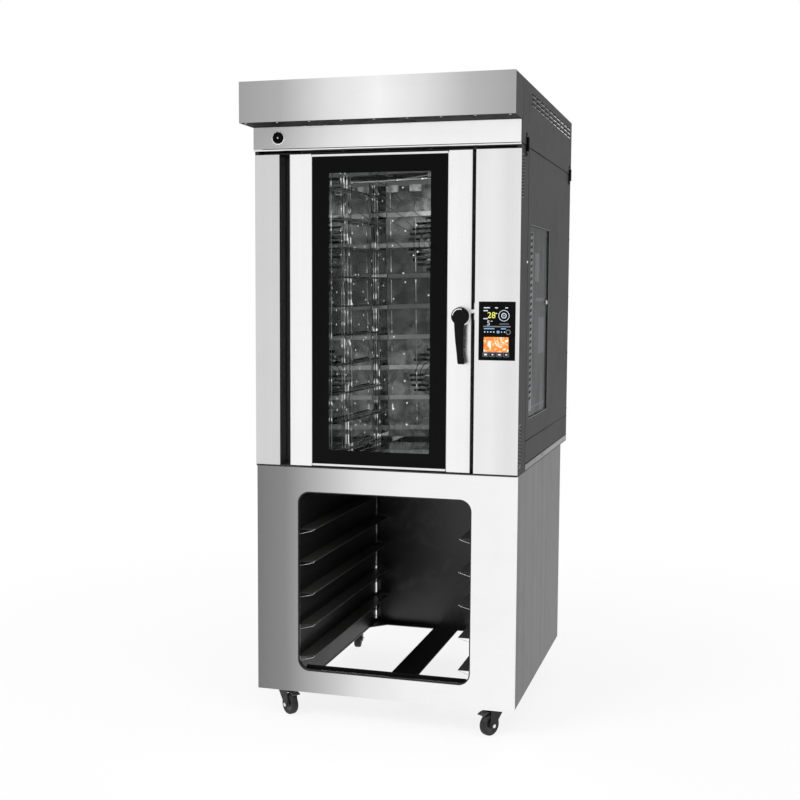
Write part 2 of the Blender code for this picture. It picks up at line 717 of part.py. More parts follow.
def left_front_panel():
    edge = LEFT_PANEL_EDGE
    outline = [(-HALF, PANEL), (edge, PANEL), (edge, RETURN_END), (edge - SHEET, RETURN_END),
               (edge - SHEET, PANEL + SHEET), (-HALF, PANEL + SHEET)]
    return prism("left_front_panel", [outline], "Z", PANEL_FOOT, PANEL_TOP, "stainless")


def control_panel():
    """Right front panel with the opening for the touch screen."""
    edge = COLUMN_LEFT
    outline = [(edge, PANEL), (HALF, PANEL), (HALF, PANEL + SHEET), (edge + SHEET, PANEL + SHEET),
               (edge + SHEET, RETURN_END), (edge, RETURN_END)]
    panel = prism("control_panel", [outline], "Z", PANEL_FOOT, PANEL_TOP, "stainless")
    x, z = SCREEN_X, SCREEN_HEIGHT
    half_width, half_height = SCREEN_SIZE[0] / 2 - SCREEN_LAP, SCREEN_SIZE[1] / 2 - SCREEN_LAP
    opening = box("screen cut", (x - half_width, PANEL - OVERCUT, z - half_height),
                  (x + half_width, PANEL + SHEET + OVERCUT, z + half_height))
    return cut(panel, opening)


def touch_screen():
    x, z = SCREEN_X, SCREEN_HEIGHT
    half_width, half_height = SCREEN_SIZE[0] / 2, SCREEN_SIZE[1] / 2
    inset = SCREEN_LAP + SEAT
    bezel = box("touch_screen", (x - half_width, PANEL - SEAT - 0.002, z - half_height),
                (x + half_width, PANEL - SEAT, z + half_height), "black plastic")
    module = box("screen module", (x - half_width + inset, PANEL - SEAT - 0.001, z - half_height + inset),
                 (x + half_width - inset, PANEL + 0.022, z + half_height - inset))
    return weld(bezel, module)


def front_bulkhead():
    """Sheet around the chamber mouth, which carries the gasket, hinges and liner."""
    edge = HALF - SHEET - SEAT
    outline = rectangle(-edge, FLOOR_TOP + SEAT, edge, CANOPY_FOOT - 0.006)
    mouth = rectangle(CHAMBER_LEFT, CHAMBER_FOOT, CHAMBER_RIGHT, CHAMBER_TOP)
    return prism("front_bulkhead", [outline, mouth], "Y", BULKHEAD, BULKHEAD + SHEET, "black steel")


def back_panel():
    """Rear cover with cooling slots behind the fan motors and the hole for the cord gland."""
    outline = rectangle(-HALF, FLOOR_TOP + SEAT, HALF, CASING_SEAM - SEAM)
    hole = circle(GLAND_PLACE, GLAND_RADIUS - GLAND_WALL + SEAT)
    slots = []
    for height in FAN_HEIGHTS.values():
        for step in range(6):
            low = height - 0.055 + step * 0.020
            slots.append(rectangle(CHAMBER_CENTRE - 0.070, low, CHAMBER_CENTRE + 0.070, low + 0.008))
    return prism("back_panel", [outline, hole] + slots, "Y", BACK - SHEET, BACK, "dark paint")


def cable_gland():
    """Hexagon gland for the supply cable, screwed into the rear cover."""
    x, z = GLAND_PLACE
    tip = BACK + REAR_REACH
    outline = circle((x, z), GLAND_RADIUS, sides=6)
    hexagon = prism("cable_gland", [outline], "Y", BACK + SEAT, tip, "black plastic")
    thread = rod("gland thread", "Y", (x, z), GLAND_RADIUS - GLAND_WALL, BACK - 0.014, BACK + 0.004)
    bore = rod("gland bore", "Y", (x, z), GLAND_BORE_RADIUS, BACK - 0.020, tip + OVERCUT, sides=12)
    return cut(weld(hexagon, thread), bore)


def hood_shell():
    """Dark casing over the top, with a canopy forward and louvres in both sides."""
    front, step = FRONT + HOOD_FRONT_SHEET + SEAT, PANEL - FASCIA_PROUD + FASCIA_SKIN + SEAT + 0.0005
    top = OVEN_TOP - SEAT
    outer = [(front, CANOPY_FOOT), (step, CANOPY_FOOT), (step, CASING_SEAM), (BACK, CASING_SEAM),
             (BACK, top), (front, top)]
    inside = front + SHEET
    floor = CANOPY_FOOT + SHEET
    below = CASING_SEAM - 0.010
    inner = [(inside, floor), (step - OVERCUT, floor), (step - OVERCUT, below), (BACK - SHEET, below),
             (BACK - SHEET, top - SHEET), (inside, top - SHEET)]
    shell = prism("hood_shell", [outer], "X", -HOOD_HALF, HOOD_HALF, "dark paint")
    hollow = prism("hood hollow", [inner], "X", SHEET - HOOD_HALF, HOOD_HALF - SHEET, None)
    return cut(shell, hollow, louvres())


def louvres():
    """Three rows of slots near the top edge of both sides, ending just short of the rear."""
    columns, rows = 10, 3
    start, rear_margin, length = PANEL + 0.170, 0.052, 0.070
    pitch = (BACK - rear_margin - length - start) / (columns - 1)
    reach = HOOD_HALF + OVERCUT
    spans = []
    for row in range(rows):
        low = OVEN_TOP - 0.066 + row * 0.016
        for column in range(columns):
            near = start + column * pitch
            spans.append(((-reach, near, low), (reach, near + length, low + 0.006)))
    return boxes("hood louvres", spans)


def hood_front():
    half, back = HALF + HOOD_FRONT_LAP, FRONT + HOOD_FRONT_SHEET
    item = box("hood_front", (-half, FRONT, CANOPY_FOOT), (half, back, OVEN_TOP), "stainless")
    return bevel(item, 0.0008)


def fascia_strip():
    """Folded strip under the canopy with a rolled lower lip and the push-button hole."""
    face = PANEL - FASCIA_PROUD
    skin = FASCIA_SKIN
    top = CANOPY_FOOT - 0.0008
    depth = PANEL + 0.016
    lip = FASCIA_LIP_RADIUS
    lip_centre = (face + 0.0018, FASCIA_LIP + lip)
    outline = [(face, top), (face, FASCIA_LIP + 2 * lip)]
    outline += arc(lip_centre, lip, 130, 270, 6)
    tuck, foot = PANEL + SHEET, FASCIA_LIP + SHEET
    outline += [(tuck, FASCIA_LIP), (tuck, foot), (face + skin, foot), (face + skin, top - SHEET),
                (depth, top - SHEET), (depth, top)]
    edge = HALF - SEAT
    strip = prism("fascia_strip", [outline], "X", -edge, edge, "stainless")
    hole = rod("button hole", "Y", BUTTON_CENTRE, BUTTON_RADIUS + 0.0008, face - OVERCUT, PANEL)
    corner = HOOD_HALF - SHEET - SEAT
    near, far = face + skin + 0.0001, depth + OVERCUT
    low, high = FASCIA_LIP - OVERCUT, top + OVERCUT
    notch = boxes("fascia ends", [((corner, near, low), (HALF + OVERCUT, far, high)),
                                  ((-HALF - OVERCUT, near, low), (-corner, far, high))])
    return cut(strip, hole, notch)


def light_button():
    """Round push button with a slightly domed cap, sliding in the fascia."""
    x, z = BUTTON_CENTRE
    radius = BUTTON_RADIUS
    profile = [(0.0, 0.0125), (radius * 0.5, 0.0120), (radius * 0.85, 0.0105), (radius, 0.0080),
               (radius, -0.004), (0.0, -0.004)]
    button = turned("light_button", profile, "black plastic")
    button.location = (x, PANEL - FASCIA_PROUD + 0.0045, z)
    button.rotation_euler = (math.radians(90), 0.0, 0.0)
    return button


def vent_grille():
    """Slotted bar in the shadow gap over the door and the control panel."""
    low, high = PANEL_TOP + 0.0012, FASCIA_LIP - SEAT
    start, stop = DOOR_LEFT + 0.038, HALF - SHEET - SEAT
    outline = rectangle(start, low, stop, high)
    slots = []
    count = 5
    pitch = (stop - start) / count
    for step in range(count):
        near = start + step * pitch + 0.004
        slots.append(rectangle(near, low + 0.0022, near + pitch - 0.008, high - 0.0022))
    near = PANEL + 2 * SHEET + 2 * SEAT
    return prism("vent_grille", [outline] + slots, "Y", near, near + SHEET, "black steel")


# Door

def door_frame():
    """Door leaf: hollow, and cut for its two glasses, the hinge pins, the handle shaft and the bolt."""
    leaf = box("door_frame", (DOOR_LEFT, PANEL, DOOR_FOOT), (DOOR_RIGHT, DOOR_BACK, DOOR_TOP), "stainless")
    view = box("door view cut", (VIEW_LOW[0], PANEL - OVERCUT, VIEW_LOW[1]),
               (VIEW_HIGH[0], DOOR_BACK + OVERCUT, VIEW_HIGH[1]))
    rebate = GLASS_THICKNESS + 2 * SEAT
    front = box("door front rebate", (GLASS_LEFT - SEAT, PANEL - OVERCUT, GLASS_FOOT - SEAT),
                (GLASS_RIGHT + SEAT, PANEL + rebate, GLASS_TOP + SEAT))
    lap = INNER_GLASS_LAP
    rear = box("door rear rebate", (VIEW_LOW[0] - lap, DOOR_BACK - rebate, VIEW_LOW[1] - lap),
               (VIEW_HIGH[0] + lap, DOOR_BACK + OVERCUT, VIEW_HIGH[1] + lap))
    pin_hole, deep = HINGE_PIN_RADIUS + RUNNING, HINGE_PIN_REACH + 0.003
    top_hole = rod("door top hole", "Z", (HINGE_X, HINGE_Y), pin_hole, DOOR_TOP - deep, DOOR_TOP + OVERCUT)
    foot = DOOR_FOOT - OVERCUT
    foot_hole = rod("door foot hole", "Z", (HINGE_X, HINGE_Y), pin_hole, foot, DOOR_FOOT + deep)
    shaft_hole = rod("door shaft hole", "Y", (HANDLE_X, HANDLE_HEIGHT), SHAFT_RADIUS + RUNNING,
                     PANEL - OVERCUT, PANEL + SHAFT_DEPTH + 0.002)
    half_depth, half_height = BOLT_SIZE[0] / 2 + RUNNING, BOLT_SIZE[1] / 2 + RUNNING
    bolt_hole = box("door bolt hole", (HANDLE_X - 0.013, HINGE_Y - half_depth, BOLT_HEIGHT - half_height),
                    (DOOR_RIGHT + OVERCUT, HINGE_Y + half_depth, BOLT_HEIGHT + half_height))
    skins = rectangle(DOOR_LEFT + SHEET, DOOR_FOOT + SHEET, DOOR_RIGHT - SHEET, DOOR_TOP - SHEET)
    core = rectangle(VIEW_LOW[0] - SHEET, VIEW_LOW[1] - SHEET, VIEW_HIGH[0] + SHEET, VIEW_HIGH[1] + SHEET)
    skin = rebate + SHEET
    hollow = prism("door hollow", [skins, core], "Y", PANEL + skin, DOOR_BACK - skin, None)
    return cut(leaf, hollow, view, front, rear, top_hole, foot_hole, shaft_hole, bolt_hole)


def door_glasses():
    near = PANEL + SEAT
    box("door_glass_outer", (GLASS_LEFT, near, GLASS_FOOT), (GLASS_RIGHT, near + GLASS_THICKNESS, GLASS_TOP),
        "door glass")
    lap = INNER_GLASS_LAP - SEAT
    far = DOOR_BACK - SEAT
    box("door_glass_inner", (VIEW_LOW[0] - lap, far - GLASS_THICKNESS, VIEW_LOW[1] - lap),
        (VIEW_HIGH[0] + lap, far, VIEW_HIGH[1] + lap), "door glass")


def door_gasket():
    """Round silicone rope on the bulkhead, all round the chamber mouth."""
    y = BULKHEAD - SEAT - GASKET_RADIUS
    margin = GASKET_MARGIN
    loop = rounded(CHAMBER_LEFT - margin, CHAMBER_FOOT - margin, CHAMBER_RIGHT + margin, CHAMBER_TOP + margin,
                   0.020, steps=3)
    points = [(x, y, z) for x, z in loop]
    return tube("door_gasket", points, GASKET_RADIUS, "silicone", cyclic=True, resolution=1)


def hinges():
    """Brackets on the bulkhead with welded pins that enter the door's top and foot."""
    near, far = PANEL + 0.006, BULKHEAD - SEAT
    left, right = LEFT_PANEL_EDGE - 0.055, HINGE_X + 0.016
    low = DOOR_TOP + 0.0023
    top = box("hinge_top", (left, near, low), (right, far, low + BRACKET_SHEET), "zinc")
    pin_end = DOOR_TOP - HINGE_PIN_REACH
    weld(top, rod("hinge pin top", "Z", (HINGE_X, HINGE_Y), HINGE_PIN_RADIUS, pin_end, low + 0.001))
    low = FLOOR_TOP + SEAT
    foot = box("hinge_bottom", (left, near, low), (right, far, low + BRACKET_SHEET), "zinc")
    pin_end = DOOR_FOOT + HINGE_PIN_REACH
    weld(foot, rod("hinge pin foot", "Z", (HINGE_X, HINGE_Y), HINGE_PIN_RADIUS, low + 0.001, pin_end))


def handle_rose():
    """Bright disc under the lever, fixed to the door's stile."""
    place = (HANDLE_X, HANDLE_HEIGHT)
    loops = [circle(place, BOSS_RADIUS + 0.0025), circle(place, SHAFT_RADIUS + RUNNING)]
    return smooth(prism("handle_rose", loops, "Y", PANEL - ROSE_THICKNESS, PANEL - SEAT, "mirror steel"))


def handle_lever():
    """Black lever: a round boss, a tapering arm and the shaft that enters the door."""
    tip = -HANDLE_REACH
    arm = arc((0, 0), BOSS_RADIUS, -28, 208, 14)
    arm += [(-0.0175, -0.040), (-0.0165, -0.070), (-0.0095, tip + 0.006), (-0.006, tip),
            (0.012, tip), (0.0175, tip + 0.006), (0.0135, tip + 0.012), (0.0125, -0.070), (0.0145, -0.040)]
    face, root = PANEL - HANDLE_PROUD, PANEL - ROSE_THICKNESS - SEAT
    lever = prism("handle_lever", [arm], "Y", face, root, "black plastic")
    relief = box("lever relief", (-0.05, face + 0.014, tip - 0.01), (0.05, PANEL, -BOSS_RADIUS - 0.004))
    shaft = rod("lever shaft", "Y", (0, 0), SHAFT_RADIUS, root - 0.0037, PANEL + SHAFT_DEPTH, sides=16)
    for piece in (lever, relief, shaft):
        piece.data.transform(Matrix.Translation((0, -face, 0)))
        piece.location = (HANDLE_X, face, HANDLE_HEIGHT)
    cut(lever, relief)
    return weld(lever, shaft)


def latch_bolt():
    """Sliding bolt in the door's edge, drawn back when the lever turns."""
    tip = COLUMN_LEFT - SEAT - 0.0004
    tail = HANDLE_X + SHAFT_RADIUS - 0.004
    half_depth, half_height = BOLT_SIZE[0] / 2, BOLT_SIZE[1] / 2
    return box("latch_bolt", (tail, HINGE_Y - half_depth, BOLT_HEIGHT - half_height),
               (tip, HINGE_Y + half_depth, BOLT_HEIGHT + half_height), "zinc")


def strike_plate():
    """Plate on the control panel's return, notched open to the front for the bolt."""
    low, high = PANEL + 0.004, PANEL + 0.046
    half_height, half_notch = 0.028, BOLT_SIZE[1] / 2 + 0.0015
    depth = HINGE_Y + BOLT_SIZE[0] / 2 + 0.002
    outline = [(low, BOLT_HEIGHT - half_height), (high, BOLT_HEIGHT - half_height),
               (high, BOLT_HEIGHT + half_height), (low, BOLT_HEIGHT + half_height),
               (low, BOLT_HEIGHT + half_notch), (depth, BOLT_HEIGHT + half_notch),
               (depth, BOLT_HEIGHT - half_notch), (low, BOLT_HEIGHT - half_notch)]
    return prism("strike_plate", [outline], "X", COLUMN_LEFT - SEAT - 0.003, COLUMN_LEFT - SEAT, "zinc")


# Baking chamber

def chamber_liner():
    """Open-fronted box of bright sheet; its rear wall is pierced for the shafts and the heater."""
    outer = box("chamber_liner", (CHAMBER_LEFT - SHEET, LINER_START, CHAMBER_FOOT - SHEET),
                (CHAMBER_RIGHT + SHEET, LINER_END + SHEET, CHAMBER_TOP + SHEET), "mirror steel")
    hollow = box("chamber hollow", (CHAMBER_LEFT, LINER_START - OVERCUT, CHAMBER_FOOT),
                 (CHAMBER_RIGHT, LINER_END, CHAMBER_TOP))
    shafts = [(CHAMBER_CENTRE, height) for height in FAN_HEIGHTS.values()]
    bores = rods("liner shaft holes", "Y", shafts, FAN_SHAFT_RADIUS + 0.001, LINER_END - OVERCUT,
                 LINER_END + SHEET + OVERCUT, sides=16)
    terminals = rods("liner terminal holes", "Y", heater_terminals(), HEATER_RADIUS + 0.0005,
                     LINER_END - OVERCUT, LINER_END + SHEET + OVERCUT, sides=12)
    return cut(outer, hollow, bores, terminals)


def insulation():
    """Mineral-wool jacket around the liner's four walls."""
    hole = rectangle(CHAMBER_LEFT - SHEET - SEAT, CHAMBER_FOOT - SHEET - SEAT,
                     CHAMBER_RIGHT + SHEET + SEAT, CHAMBER_TOP + SHEET + SEAT)
    outline = rectangle(CHAMBER_LEFT - WOOL_THICKNESS, FLOOR_TOP + SEAT,
                        CHAMBER_RIGHT + WOOL_THICKNESS, CHAMBER_TOP + WOOL_HEAD)
    return prism("insulation_jacket", [outline, hole], "Y", LINER_START, LINER_END, "wool")


def ladder(name, wall, inward):
    """Ten tray runners welded to three uprights, hung on one wall of the chamber."""
    start = LADDER_START
    near, far = sorted((wall + inward * SEAT, wall + inward * (SEAT + UPRIGHT)))
    low, high = CHAMBER_FOOT + SEAT, CHAMBER_TOP - 0.020
    places = [start + 0.035, start + LADDER_LENGTH / 2 - UPRIGHT / 2, start + LADDER_LENGTH - 0.035 - UPRIGHT]
    first = box(name, (near, places[0], low), (far, places[0] + UPRIGHT, high), "mirror steel")
    uprights = boxes(name + " uprights", [((near, y, low), (far, y + UPRIGHT, high)) for y in places[1:]])
    root = wall + inward * (SEAT + UPRIGHT / 2)
    edge = wall + inward * (SEAT + UPRIGHT + RUNNER_WIDTH)
    left, right = sorted((root, edge))
    spans = []
    for level in range(LEVELS):
        height = LEVEL_FIRST + level * LEVEL_PITCH
        spans.append(((left, start, height), (right, start + LADDER_LENGTH, height + SHEET)))
    return weld(first, boxes(name + " runners", spans), uprights)


def fan_baffle():
    """Folded air guide in front of the fans, with level strips and slotted inlets."""
    left, right = CHAMBER_LEFT + BAFFLE_MARGIN, CHAMBER_RIGHT - BAFFLE_MARGIN
    start, stop = BAFFLE_FACE, LINER_END - SEAT
    outline = channel(left, right, start, stop, "+b")
    low, high = CHAMBER_FOOT + BAFFLE_END_GAP, CHAMBER_TOP - BAFFLE_END_GAP
    pan = prism("fan_baffle", [outline], "Z", low, high, "mirror steel")
    strips = []
    for step in range(STRIPS):
        low = STRIP_FIRST - STRIP_HEIGHT / 2 + step * STRIP_PITCH
        strips.append(((left + 0.006, start - STRIP_PROUD, low),
                       (right - 0.006, start + SHEET / 2, low + STRIP_HEIGHT)))
    weld(pan, boxes("baffle strips", strips))
    return cut(pan, inlet_slots(start))


def inlet_slots(face):
    """Level inlet slots that fill a circle in front of each fan, kept clear of the strips."""
    radius, slot, pitch = FAN_RADIUS - INLET_MARGIN, 0.010, 0.0198
    spans = []
    for height in FAN_HEIGHTS.values():
        for step in range(-5, 6):
            level = height + step * pitch
            chord = math.sqrt(max(radius ** 2 - (step * pitch) ** 2, 0.0))
            if chord < 0.03 or near_strip(level, slot):
                continue
            spans.append(((CHAMBER_CENTRE - chord, face - 0.010, level - slot / 2),
                          (CHAMBER_CENTRE + chord, face + 0.010, level + slot / 2)))
    return boxes("inlet slots", spans)


def near_strip(level, slot):
    margin = (STRIP_HEIGHT + slot) / 2 + 0.002
    return any(abs(level - STRIP_FIRST - step * STRIP_PITCH) < margin for step in range(STRIPS))


def fan(label, height):
    """Backward-curved wheel on a stub shaft that runs into its motor."""
    rear = LINER_END - 0.014
    disc = rod("fan_" + label, "Y", (0, 0), FAN_RADIUS, rear - 0.003, rear, "stainless")
    hub = rod("fan hub " + label, "Y", (0, 0), 0.022, rear - 0.030, rear + 0.002, sides=16)
    shaft = rod("fan shaft " + label, "Y", (0, 0), FAN_SHAFT_RADIUS, rear - 0.001,
                LINER_END + SHEET + 0.030, sides=16)
    form = bmesh.new()
    for blade in range(FAN_BLADES):
        size = Matrix.Diagonal((FAN_RADIUS - 0.049, FAN_DEPTH, 0.003, 1.0))
        out = Matrix.Translation((FAN_RADIUS - 0.053, rear - FAN_DEPTH / 2 - 0.001, 0.0))
        lean = Matrix.Rotation(math.radians(28), 4, 'Y')
        around = Matrix.Rotation(2 * math.pi * blade / FAN_BLADES, 4, 'Y')
        bmesh.ops.create_cube(form, size=1.0, matrix=around @ out @ lean @ size)
    mesh = bpy.data.meshes.new("fan blades " + label)
    form.to_mesh(mesh)
    form.free()
    blades = add_object("fan blades " + label, mesh, None)
    for piece in (disc, hub, shaft, blades):
        piece.location = (CHAMBER_CENTRE, 0.0, height)
    return weld(disc, hub, shaft, blades)


def motor(label, height):
    """Fan motor flanged to the chamber's rear wall, with a bore for the fan's shaft."""
    start = LINER_END + SHEET + SEAT
    place = (CHAMBER_CENTRE, height)
    flange = prism("fan_motor_" + label, [rounded(place[0] - 0.075, height - 0.075, place[0] + 0.075,
                                                  height + 0.075, 0.020, steps=3)],
                   "Y", start, start + 0.004, "cast aluminium")
    barrel = rod("motor barrel " + label, "Y", place, MOTOR_RADIUS, start + 0.002, start + MOTOR_LENGTH)
    cap = rod("motor cap " + label, "Y", place, MOTOR_RADIUS * 0.78, start + MOTOR_LENGTH - 0.002,
              start + MOTOR_LENGTH + 0.018)
    bore = rod("motor bore " + label, "Y", place, FAN_SHAFT_RADIUS + RUNNING, start - OVERCUT, start + 0.040,
               sides=16)
    weld(flange, barrel, cap)
    return cut(flange, bore)


def heater_path():
    """Racetrack loop around both fans whose two ends turn back through the rear wall."""
    y = LINER_END - 0.045
    reach = FAN_RADIUS + HEATER_GAP
    low, high = FAN_HEIGHTS["lower"], FAN_HEIGHTS["upper"]
    tail = HEATER_TAIL
    loop = [(tail, low - reach)]
    loop += arc((0, low), reach, -75, 0, 6)
    loop += arc((0, high), reach, 0, 180, 12)
    loop += arc((0, low), reach, 180, 255, 6)
    loop += [(-tail, low - reach)]
    points = [(CHAMBER_CENTRE + tail, LINER_END + SHEET + 0.020, low - reach)]
    points += [(CHAMBER_CENTRE + a, y, b) for a, b in loop]
    points += [(CHAMBER_CENTRE - tail, LINER_END + SHEET + 0.020, low - reach)]
    return points


def heater_terminals():
    level = FAN_HEIGHTS["lower"] - FAN_RADIUS - HEATER_GAP
    return [(CHAMBER_CENTRE - HEATER_TAIL, level), (CHAMBER_CENTRE + HEATER_TAIL, level)]


def chamber_lamp():
    """Lamp cover under the chamber's ceiling, right of the middle."""
    left, top = CHAMBER_CENTRE + 0.020, CHAMBER_TOP - SEAT
    near = LADDER_START + 0.460
    right, far = left + LAMP_SIZE[0], near + LAMP_SIZE[1]
    item = box("chamber_lamp", (left, near, top - LAMP_SIZE[2]), (right, far, top), "lamp glass")
    return bevel(item, 0.004)


def build_rack():
    rack_front_frame()
    rack_sides()
    rack_back_panel()
    rack_top_panel()
    rack_base_frame()
    rack_runners()
    casters()


def build_casing():
    base_plinth()
    posts()
    side_panels()
    side_window()
    left_front_panel()
    control_panel()
    touch_screen()
    front_bulkhead()
    back_panel()
    cable_gland()
    hood_shell()
    hood_front()
    fascia_strip()
    light_button()
    vent_grille()


def build_door():
    door_frame()
    door_glasses()
    door_gasket()
    hinges()
    handle_rose()
    handle_lever()
    latch_bolt()
    strike_plate()


def build_chamber():
    chamber_liner()
    insulation()
    ladder("tray_ladder_left", CHAMBER_LEFT, 1)
    ladder("tray_ladder_right", CHAMBER_RIGHT, -1)
    fan_baffle()
    for label, height in FAN_HEIGHTS.items():
        fan(label, height)
        motor(label, height)
    tube("heating_element", heater_path(), HEATER_RADIUS, "black steel", resolution=1)
    chamber_lamp()


def main():
    clear_scene()
    build_rack()
    build_casing()
    build_door()
    build_chamber()


main()
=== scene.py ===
"""Looks of a tall single-door tray oven standing on a castored tray rack.

Metres, +Z up, front towards -Y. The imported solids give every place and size. This file adds the
finishes, the glass, the trims, the display and the small fittings.
"""
import json
import math

import bmesh
import bpy
from mathutils import Matrix, Vector


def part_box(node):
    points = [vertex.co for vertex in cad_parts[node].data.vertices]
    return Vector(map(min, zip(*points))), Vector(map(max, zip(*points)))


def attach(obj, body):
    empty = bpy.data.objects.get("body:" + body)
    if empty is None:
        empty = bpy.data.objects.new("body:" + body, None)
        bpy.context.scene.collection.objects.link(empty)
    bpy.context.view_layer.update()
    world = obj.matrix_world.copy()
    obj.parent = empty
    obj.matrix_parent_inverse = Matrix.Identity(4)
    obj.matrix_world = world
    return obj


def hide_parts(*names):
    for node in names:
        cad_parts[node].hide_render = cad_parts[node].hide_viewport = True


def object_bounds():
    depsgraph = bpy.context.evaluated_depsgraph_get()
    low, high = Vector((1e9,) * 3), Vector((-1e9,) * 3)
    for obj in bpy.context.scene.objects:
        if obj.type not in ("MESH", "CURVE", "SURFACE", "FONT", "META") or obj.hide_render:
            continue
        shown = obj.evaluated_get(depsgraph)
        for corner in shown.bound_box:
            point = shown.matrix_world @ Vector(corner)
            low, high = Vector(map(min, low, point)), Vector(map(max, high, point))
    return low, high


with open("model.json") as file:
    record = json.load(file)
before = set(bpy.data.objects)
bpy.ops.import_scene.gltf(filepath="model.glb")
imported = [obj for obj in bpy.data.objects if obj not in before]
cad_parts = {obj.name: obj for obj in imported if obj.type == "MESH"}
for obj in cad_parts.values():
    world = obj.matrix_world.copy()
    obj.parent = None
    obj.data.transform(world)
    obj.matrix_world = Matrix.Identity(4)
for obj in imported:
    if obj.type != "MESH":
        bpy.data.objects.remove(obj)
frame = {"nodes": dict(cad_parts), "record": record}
CAD_LOW, CAD_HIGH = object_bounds()

NODES = frame["nodes"]
SHEET_GAP = 0.0002
CASTERS = ("front_left", "front_right", "rear_left", "rear_right")
SIDES = {"left": -1, "right": 1}
FACING_IN = {"left": "right", "right": "left"}

# Each facing turns a shape so that its own up-axis points out of that side of the oven.
FACINGS = {
    "front": Matrix(((1, 0, 0, 0), (0, 0, -1, 0), (0, 1, 0, 0), (0, 0, 0, 1))),
    "rear": Matrix(((-1, 0, 0, 0), (0, 0, 1, 0), (0, 1, 0, 0), (0, 0, 0, 1))),
    "right": Matrix(((0, 0, 1, 0), (1, 0, 0, 0), (0, 1, 0, 0), (0, 0, 0, 1))),
    "left": Matrix(((0, 0, -1, 0), (-1, 0, 0, 0), (0, 1, 0, 0), (0, 0, 0, 1))),
    "top": Matrix.Identity(4),
    "under": Matrix(((1, 0, 0, 0), (0, -1, 0, 0), (0, 0, -1, 0), (0, 0, 0, 1))),
}


def middle_of(node):
    """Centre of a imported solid's box, as three numbers."""
    return [(low + high) / 2 for low, high in zip(*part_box(node))]


def spread(first, last, count):
    """Evenly spaced numbers from first to last."""
    return [first + (last - first) * step / (count - 1) for step in range(count)]


# Node building

def add(tree, kind, values=None, **settings):
    """A node with its settings, its set values and its incoming links."""
    made = tree.nodes.new(kind)
    for key, value in settings.items():
        setattr(made, key, value)
    sockets = made.inputs
    if kind == "ShaderNodeMix" and made.data_type == "RGBA":
        sockets = {"Factor": made.inputs[0], "A": made.inputs[6], "B": made.inputs[7]}
    for key, value in (values or {}).items():
        if isinstance(value, bpy.types.NodeSocket):
            tree.links.new(value, sockets[key])
        else:
            sockets[key].default_value = value
    return made


def object_place(tree):
    return add(tree, "ShaderNodeTexCoord").outputs["Object"]


def axes(tree, vector):
    return add(tree, "ShaderNodeSeparateXYZ", {0: vector}).outputs


def noise(tree, place, scale, detail, **more):
    values = {"Vector": place, "Scale": scale, "Detail": detail, **more}
    return add(tree, "ShaderNodeTexNoise", values).outputs["Fac"]


def bump(tree, strength, distance, height, **more):
    values = {"Strength": strength, "Distance": distance, "Height": height, **more}
    return add(tree, "ShaderNodeBump", values).outputs[0]


def math_node(tree, operation, first, second):
    return add(tree, "ShaderNodeMath", {0: first, 1: second}, operation=operation).outputs[0]


def product(tree, first, second):
    return math_node(tree, "MULTIPLY", first, second)


def map_range(tree, value, low, high, out_low, out_high):
    return add(tree, "ShaderNodeMapRange", {"Value": value, "From Min": low, "From Max": high,
                                            "To Min": out_low, "To Max": out_high}).outputs["Result"]


def mix(tree, factor, first, second, **settings):
    """Blend of two colours, each a link or a tone of three numbers."""
    values = {"Factor": factor}
    for key, tone in (("A", first), ("B", second)):
        values[key] = (*tone, 1) if isinstance(tone, tuple) else tone
    return add(tree, "ShaderNodeMix", values, data_type="RGBA", **settings).outputs[2]


def ramp(tree, value, stops):
    """A colour ramp; a stop's tone is one grey number or a colour of three."""
    made = add(tree, "ShaderNodeValToRGB", {"Fac": value})
    elements = made.color_ramp.elements
    while len(elements) < len(stops):
        elements.new(0.5)
    for element, (position, tone) in zip(elements, stops):
        element.position = position
        element.color = (*tone, 1) if isinstance(tone, tuple) else (tone, tone, tone, 1)
    return made.outputs["Color"]


def scaled(tree, colour, factor):
    return add(tree, "ShaderNodeVectorMath", {0: colour, 3: factor}, operation="SCALE").outputs[0]


def level(value):
    """Linear tone of a display level from 0 to 255."""
    return ((value / 255 + 0.055) / 1.055) ** 2.4


def levels(*tones):
    """Ramp stops from (place, display level) pairs, or from one level for an even tone."""
    pairs = tones if isinstance(tones[0], tuple) else [(0, tones[0]), (1, tones[0])]
    return [(place, level(value)) for place, value in pairs]


def group(name, wants, gives):
    """An empty node group; wants are (name, default) pairs, gives are (name, kind) pairs."""
    tree = bpy.data.node_groups.new(name, "ShaderNodeTree")
    for label, value in wants:
        kind = "NodeSocketVector" if isinstance(value, tuple) else "NodeSocketFloat"
        socket = tree.interface.new_socket(name=label, in_out="INPUT", socket_type=kind)
        socket.default_value = value
    for label, kind in gives:
        tree.interface.new_socket(name=label, in_out="OUTPUT", socket_type="NodeSocket" + kind)
    return tree, tree.nodes.new("NodeGroupInput").outputs


def give(tree, values):
    """Ends a node group in its output sockets."""
    add(tree, "NodeGroupOutput", values)
    return tree


def sheet_grain():
    """Streaks left by the brushing of sheet steel, drawn out along the axis with the smallest stretch."""
    tree, given = group("sheet grain", [("Stretch", (1.0, 1.0, 1.0)), ("Depth", 0.1)],
                        [("Fine", "Float"), ("Broad", "Float"), ("Normal", "Vector")])
    drawn = add(tree, "ShaderNodeVectorMath", {0: object_place(tree), 1: given["Stretch"]},
                operation="MULTIPLY").outputs[0]
    fine = noise(tree, drawn, 900.0, 2.0)
    return give(tree, {"Fine": fine, "Broad": noise(tree, drawn, 26.0, 3.0),
                       "Normal": bump(tree, given["Depth"], 0.0004, fine)})


